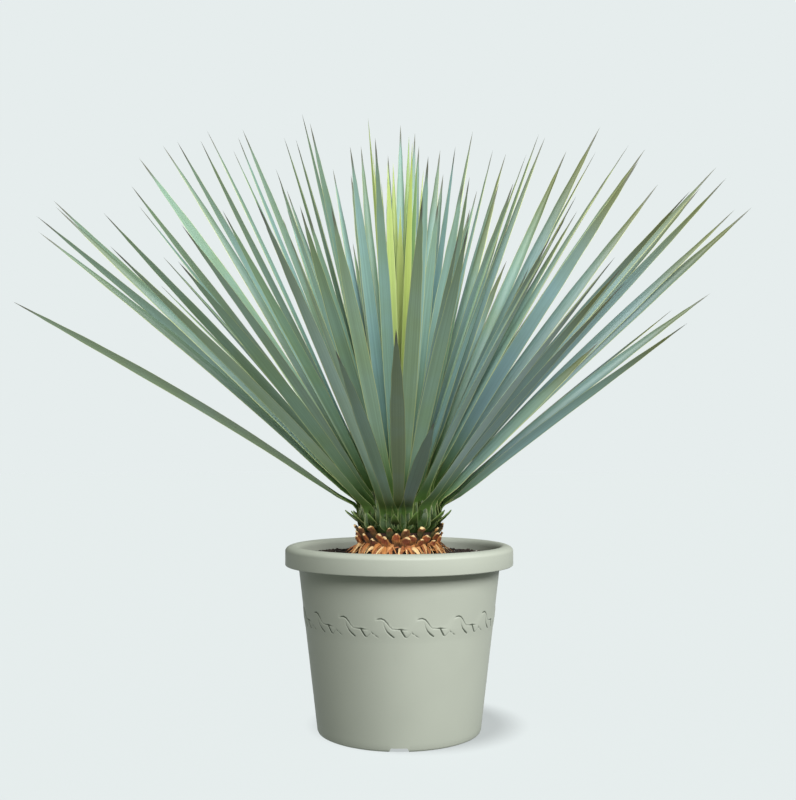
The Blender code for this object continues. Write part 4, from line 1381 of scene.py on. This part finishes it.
def hold_inside(tip, part):
    """Draws a tip in until, seen from in front, it stays a part inside the outline leaves."""
    for _ in range(DRAW_IN_ROUNDS):
        lean, reach = as_seen(tip)
        allowed = part * between(INNER_REACH, (lean / WIDE_LEAN) ** 2)
        if reach > allowed:
            tip = FAN_CENTRE + (tip - FAN_CENTRE) * (allowed / reach)
    if abs(tip.y) > DEEPEST:
        tip = FAN_CENTRE + (tip - FAN_CENTRE) * (DEEPEST / abs(tip.y))
    return tip


def spiral_leaves(width):
    """The rest of the mature leaves, all round the crown, between the outline leaves."""
    draw = random.Random(SPIRAL_SEED)
    leaves = []
    top = math.cos(math.radians(SPIRAL_TOP))
    bottom = math.cos(math.radians(SPIRAL_BOTTOM))
    for number in range(SPIRAL_LEAVES):
        polar = math.degrees(math.acos(between((top, bottom), (number + 0.5) / SPIRAL_LEAVES)))
        down = (polar - SPIRAL_TOP) / (SPIRAL_BOTTOM - SPIRAL_TOP)
        lean = between(SPIRAL_LEAN, down) + draw.uniform(-LEAN_WANDER, LEAN_WANDER)
        azimuth = number * GOLDEN_ANGLE + draw.uniform(-AZIMUTH_WANDER, AZIMUTH_WANDER)
        length = between(SPIRAL_LENGTH, down) * draw.uniform(SHORTEST, 1.0)
        inside = draw.uniform(FURTHEST_IN, 1.0)
        roll = draw.uniform(-SPIRAL_ROLL, SPIRAL_ROLL)
        aside = math.degrees(math.asin(abs(math.sin(azimuth))))
        if aside < SIDE_SECTOR and lean > SIDE_LEAN:
            continue
        tip = hold_inside(FAN_CENTRE + heading(lean, azimuth) * length, inside)
        if tip.y > 0 or not HEART_GAP[0] < as_seen(tip)[0] < HEART_GAP[1]:
            leaves.append(leaf_to(tip, draw, roll, width))
    return leaves


def heart_leaf_list(width):
    draw = random.Random(HEART_SEED)
    leaves = []
    for number in range(HEART_LEAVES):
        out = math.sqrt((number + 0.5) / HEART_LEAVES)
        azimuth = number * GOLDEN_ANGLE
        reach = between(HEART_REACH, out) * draw.uniform(HEART_SHORTEST, 1.0)
        root = heading(90.0, azimuth) * (HEART_ROOTS * HEART_RADIUS * out)
        root.z = HEART_FOOT + HEART_SUNK
        tip = root + reach * heading(HEART_LEAN * out, azimuth)
        wide = width * draw.uniform(*HEART_SPREAD)
        twist = draw.uniform(-HEART_TWIST, HEART_TWIST)
        leaves.append(Leaf(root, tip, HEART_BOW, HEART_BOW, wide, 0.0, twist))
    return leaves


def clasped_width(leaf, place):
    """Share of the blade's full width, rounded off at the foot of its base."""
    past = past_crown(leaf, place)
    if past >= BASE_WIDTH[-1][0]:
        return profile_value(WIDTH_PROFILE, place)
    foot = (past + base_depth(leaf)) / BASE_ROUND
    return profile_value(BASE_WIDTH, past) * between((BASE_FOOT_WIDTH, 1.0), smooth(*BASE_FOOT_RUN, foot))


def blade_section(leaf, place, line):
    """Places round a blade: a shallow channel above, and below a keel that thins to the margins."""
    centre, side, under = blade_frame(leaf, place, line)
    clasped = line is clasped_line
    width = leaf.width * (clasped_width(leaf, place) if clasped else profile_value(WIDTH_PROFILE, place))
    channel = width * profile_value(CHANNEL_PROFILE, place)
    depth = width * profile_value(DEPTH_PROFILE, place)
    places = []
    for number, across in enumerate(ACROSS):
        drop = channel * (1 - across * across)
        if number > UPPER_FACE:
            drop += depth * (1 - abs(across)) ** KEEL_CURVE + BLADE_LEAST
        places.append(centre + side * (0.5 * width * across) + under * drop)
    return places


def add_blade(gathered, leaf, looks, line, stations):
    loops = []
    for place in stations:
        rows = [(across, max(0.0, place), *looks) for across in ACROSS]
        loops.append(gathered.add_loop(blade_section(leaf, place, line), rows))
    gathered.skin(loops)
    gathered.fan(loops[-1], gathered.add_point(leaf.tip, 0.0, 1.0, *looks))
    gathered.faces.append(tuple(reversed(loops[0])))


def upper_stations(start):
    return [between((start, 1.0), step / UPPER_STATIONS) for step in range(1, UPPER_STATIONS)]


def clasped_stations(leaf):
    """Places along a mature blade, from the foot of its base to just short of its tip."""
    length = (leaf.tip - leaf.root).length
    deep = base_depth(leaf)
    past = [-deep * share for share in BASE_SHARES] + list(NECK_STATIONS)
    low = [(metres + BLADE_ROOT) / length for metres in past]
    return low + upper_stations(low[-1])


def leaf_looks(leaf, draw):
    """A leaf's tone, its hue from green to blue green, its age, and how far its upper end has dried."""
    seen = leaf.tip - FAN_CENTRE
    lean = lean_of(seen)
    hue = HUE[0] + HUE[1] * seen.x + draw.uniform(-HUE_WANDER, HUE_WANDER)
    front = smooth(*FRONT_METRES, -seen.y) * smooth(*FRONT_LEANS, lean)
    old = max(OLD_SHARES[0] * smooth(*OLD_LEANS, lean), OLD_SHARES[1] * front)
    age = old * draw.uniform(*AGE_CHANCE) + AGE_WANDER * draw.random()
    dry = DRY[0] + DRY[1] * smooth(*DRY_METRES, seen.x) + draw.uniform(*DRY_WANDER)
    # Painted shade: leaves that lean far or lie to the right are darkened
    shade = SHADE_SHARES[0] * smooth(*SHADE_LEANS, lean) + SHADE_SHARES[1] * smooth(*SHADE_METRES, seen.x)
    # Painted light: leaves to the front are lightened
    tone = max(draw.random() * (1.0 - shade), front * draw.uniform(*FRONT_CHANCE))
    return Looks(tone, limited(hue), limited(age), limited(dry))


def mature_blades(settings):
    draw = random.Random(BLADE_LOOKS_SEED)
    blades = Gathered("across", "along", *Looks._fields)
    for leaf in fan_leaves(settings.width) + spiral_leaves(settings.width):
        add_blade(blades, leaf, leaf_looks(leaf, draw), clasped_line, clasped_stations(leaf))
    return blades.make("mature_blades", leaf_finish(settings), SHARP)


def leaf_crown(settings):
    """The short crown that the blades clasp, with its green bases that were cut short."""
    draw = random.Random(CROWN_SEED)
    noise.seed_set(ROUGH_SEED)
    crown = Gathered("across", "along", "tone")
    loops = crown.add_rings(CROWN_PROFILE, CROWN_COLUMNS, *CROWN_LOOKS)
    crown.close(loops, CROWN_PROFILE[0][1], CROWN_PROFILE[-1][1], *CROWN_LOOKS)
    for row, level, start, along, side, stretch in stub_places(GREEN_ROWS, CROWN_RADIUS):
        sunk, bow, thick = GREEN_SHAPES[level]
        start = start - Vector((start.x, start.y, 0.0)).normalized() * sunk
        length = row.length * stretch
        ends = (GREEN_ROUND_FROM, GREEN_POINTED)
        scale = Scale(length, row.width, thick, STUB_ROOT, bow, *ends, GREEN_ROUGH)
        add_scale(crown, start, along, side, scale, (draw.random(),))
    return crown.make("leaf_crown", crown_finish(settings), SHARP)


def young_blades(settings):
    draw = random.Random(HEART_LOOKS_SEED)
    blades = Gathered("across", "along", "tone")
    for leaf in heart_leaf_list(settings.width):
        add_blade(blades, leaf, (draw.random(),), centre_line, [0.0, *upper_stations(0.0)])
    profile = [(out * HEART_RADIUS, between((HEART_FOOT, HEART_TOP), up)) for out, up in HEART_CORE]
    loops = blades.add_rings(profile, HEART_COLUMNS, *HEART_LOOKS)
    blades.close(loops, HEART_FOOT, HEART_TOP, *HEART_LOOKS)
    return blades.make("young_blades", young_finish(settings), SHARP)


# Stage


def aim(item, place, target):
    item.location = place
    item.rotation_euler = (Vector(target) - Vector(place)).to_track_quat("-Z", "Y").to_euler()


def make_camera():
    lens = bpy.data.cameras.new("camera")
    lens.sensor_width = SENSOR
    lens.lens = PIXELS_PER_RADIAN * SENSOR / PHOTO_SIDE
    lens.shift_x = (PHOTO_CENTRE - AXIS_PIXEL) / PHOTO_SIDE
    lens.shift_y = (HORIZON_PIXEL - PHOTO_SIDE / 2) / PHOTO_SIDE
    camera = put_in_scene("camera", lens)
    camera.location = EYE
    camera.rotation_euler = (math.radians(90), 0.0, 0.0)
    bpy.context.scene.camera = camera


def soft_light(name, watts):
    place, wide, tall = SOFT_LIGHTS[name]
    lamp = bpy.data.lights.new(f"{name}_light", "AREA")
    lamp.shape = "RECTANGLE"
    lamp.size = wide
    lamp.size_y = tall
    lamp.energy = watts
    light = put_in_scene(lamp.name, lamp)
    aim(light, place, LIT_PLACE)
    return light


def make_floor(settings):
    floor = Gathered()
    floor.faces += map(tuple, floor.add_rings([(FLOOR_RADIUS, -FLOOR_DROP)], FLOOR_SIDES))
    piece = floor.make("floor", floor_finish(settings))
    piece.visible_diffuse = False
    piece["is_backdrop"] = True
    return piece


def only_for(light, role, items, state="INCLUDE"):
    """Lets a light fall on, or be blocked by, these items alone, or all but these items."""
    linked = bpy.data.collections.new(f"{light.name}_{role}")
    for item in items:
        linked.objects.link(item)
    for entry in linked.collection_objects:
        entry.light_linking.link_state = state
    setattr(light.light_linking, f"{role}_collection", linked)


def floor_light(floor, soil):
    """A light for the floor alone. Only the soil inside the pot blocks it, so the rim casts no shadow."""
    lamp = bpy.data.lights.new("floor_light", "SUN")
    lamp.energy = FLOOR_SUN
    lamp.angle = FLOOR_SUN_SPREAD
    light = put_in_scene("floor_light", lamp)
    aim(light, FLOOR_SUN_FROM, (0.0, 0.0, 0.0))
    only_for(light, "receiver", [floor])
    only_for(light, "blocker", [soil])


def make_world(settings):
    """Even light from all round, with the backdrop's own colour where the camera sees past the floor."""
    world = bpy.data.worlds.new("studio")
    world.use_nodes = True
    tree = world.node_tree
    path = tree.nodes.new("ShaderNodeLightPath")
    seen = tree.nodes.new("ShaderNodeMix")
    seen.data_type = "RGBA"
    seen.inputs[6].default_value = (*(settings.ambient * level for level in SHADE_TINT), 1.0)
    seen.inputs[7].default_value = (*settings.backdrop, 1.0)
    tree.links.new(path.outputs["Is Camera Ray"], seen.inputs[0])
    tree.links.new(seen.outputs[2], tree.nodes["Background"].inputs["Color"])
    bpy.context.scene.world = world


# Operators


class YuccaOperator(Operator):
    bl_options = {"REGISTER", "UNDO"}

    def settings(self, context):
        return context.scene.yucca


class MouldPot(YuccaOperator):
    """Mould the plastic pot with its rolled rim and its band of running leaves"""

    bl_idname = "yucca.mould_pot"
    bl_label = "Mould the Pot"

    def execute(self, context):
        settings = self.settings(context).pot
        pot = pot_mesh(settings, plastic_finish(settings))
        cut_openings(pot)
        settle(pot, "pot", "pot_plastic")
        return {"FINISHED"}


class FillSoil(YuccaOperator):
    """Fill the pot with lumpy soil and scatter its crumbs"""

    bl_idname = "yucca.fill_soil"
    bl_label = "Fill the Soil"

    def execute(self, context):
        settings = self.settings(context).soil
        settle(soil_bed(settings), "soil", "potting_soil")
        settle(soil_crumbs(settings), "soil", "potting_soil")
        return {"FINISHED"}


class GrowStem(YuccaOperator):
    """Grow the stem with its dry stubs and curling fibres"""

    bl_idname = "yucca.grow_stem"
    bl_label = "Grow the Stem"

    def execute(self, context):
        settings = self.settings(context).stem
        settle(stem_core(settings), "stem", "dry_stubs")
        settle(stem_stubs(settings), "stem", "dry_stubs")
        settle(stub_fibres(settings), "stem", "dry_stubs")
        return {"FINISHED"}


class GrowLeafHead(YuccaOperator):
    """Grow the head of stiff mature blades on their crown"""

    bl_idname = "yucca.grow_leaf_head"
    bl_label = "Grow the Leaf Head"

    def execute(self, context):
        settings = self.settings(context).leaf
        settle(leaf_crown(settings), "leaf_head", "mature_leaf")
        settle(mature_blades(settings), "leaf_head", "mature_leaf")
        return {"FINISHED"}


class GrowHeart(YuccaOperator):
    """Grow the upright young blades at the heart"""

    bl_idname = "yucca.grow_heart"
    bl_label = "Grow the Heart"

    def execute(self, context):
        settings = self.settings(context).heart
        settle(young_blades(settings), "heart_leaves", "young_leaf")
        return {"FINISHED"}


class SetStage(YuccaOperator):
    """Set the camera, the soft lights, the floor and the backdrop"""

    bl_idname = "yucca.set_stage"
    bl_label = "Set the Stage"

    def execute(self, context):
        settings = self.settings(context).stage
        needed = ("pot_shell", "soil_bed", "soil_crumbs", "stem_stubs", "leaf_crown")
        missing = [name for name in needed if name not in bpy.data.objects]
        if missing:
            raise RuntimeError("make these before the stage is set: " + ", ".join(missing))
        pot, soil, crumbs, stubs, crown = (bpy.data.objects[name] for name in needed)
        make_camera()
        make_world(settings)
        floor = make_floor(settings)
        floor_light(floor, soil)
        below = [pot, soil, crumbs]
        lights = {name: soft_light(name, getattr(settings, name)) for name in SOFT_LIGHTS}
        for name in ("key", "fill"):
            only_for(lights[name], "receiver", [floor, *below], "EXCLUDE")
        only_for(lights["pot"], "receiver", below)
        only_for(lights["pot"], "blocker", [*below, stubs, crown])
        only_for(lights["top"], "receiver", [floor], "EXCLUDE")
        context.scene.view_settings.view_transform = "Standard"
        return {"FINISHED"}


STEPS = (MouldPot, FillSoil, GrowStem, GrowLeafHead, GrowHeart, SetStage)
GROUPS = (PotSettings, SoilSettings, StemSettings, LeafSettings, HeartSettings, StageSettings, YuccaSettings)


class YuccaPanel(Panel):
    """The steps that make the potted yucca, each with its settings"""

    bl_label = "Potted Yucca"
    bl_idname = "VIEW3D_PT_yucca"
    bl_space_type = "VIEW_3D"
    bl_region_type = "UI"
    bl_category = "Yucca"

    def draw(self, context):
        settings = context.scene.yucca
        groups = (settings.pot, settings.soil, settings.stem, settings.leaf, settings.heart, settings.stage)
        for step, group in zip(STEPS, groups):
            box = self.layout.box()
            box.operator(step.bl_idname)
            for name in group.bl_rna.properties.keys():
                if name not in ("rna_type", "name"):
                    box.prop(group, name)


def register():
    for kind in (*GROUPS, *STEPS, YuccaPanel):
        bpy.utils.register_class(kind)
    bpy.types.Scene.yucca = PointerProperty(type=YuccaSettings)


def unregister():
    del bpy.types.Scene.yucca
    for kind in reversed((*GROUPS, *STEPS, YuccaPanel)):
        bpy.utils.unregister_class(kind)


def main():
    register()
    for step in STEPS:
        group, name = step.bl_idname.split(".")
        getattr(getattr(bpy.ops, group), name)()
    boxes = {"cad": CAD_BOX, "visual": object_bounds()}
    sizes = {name: [list(corner) for corner in box] for name, box in boxes.items()}


if __name__ == "__main__":
    main()
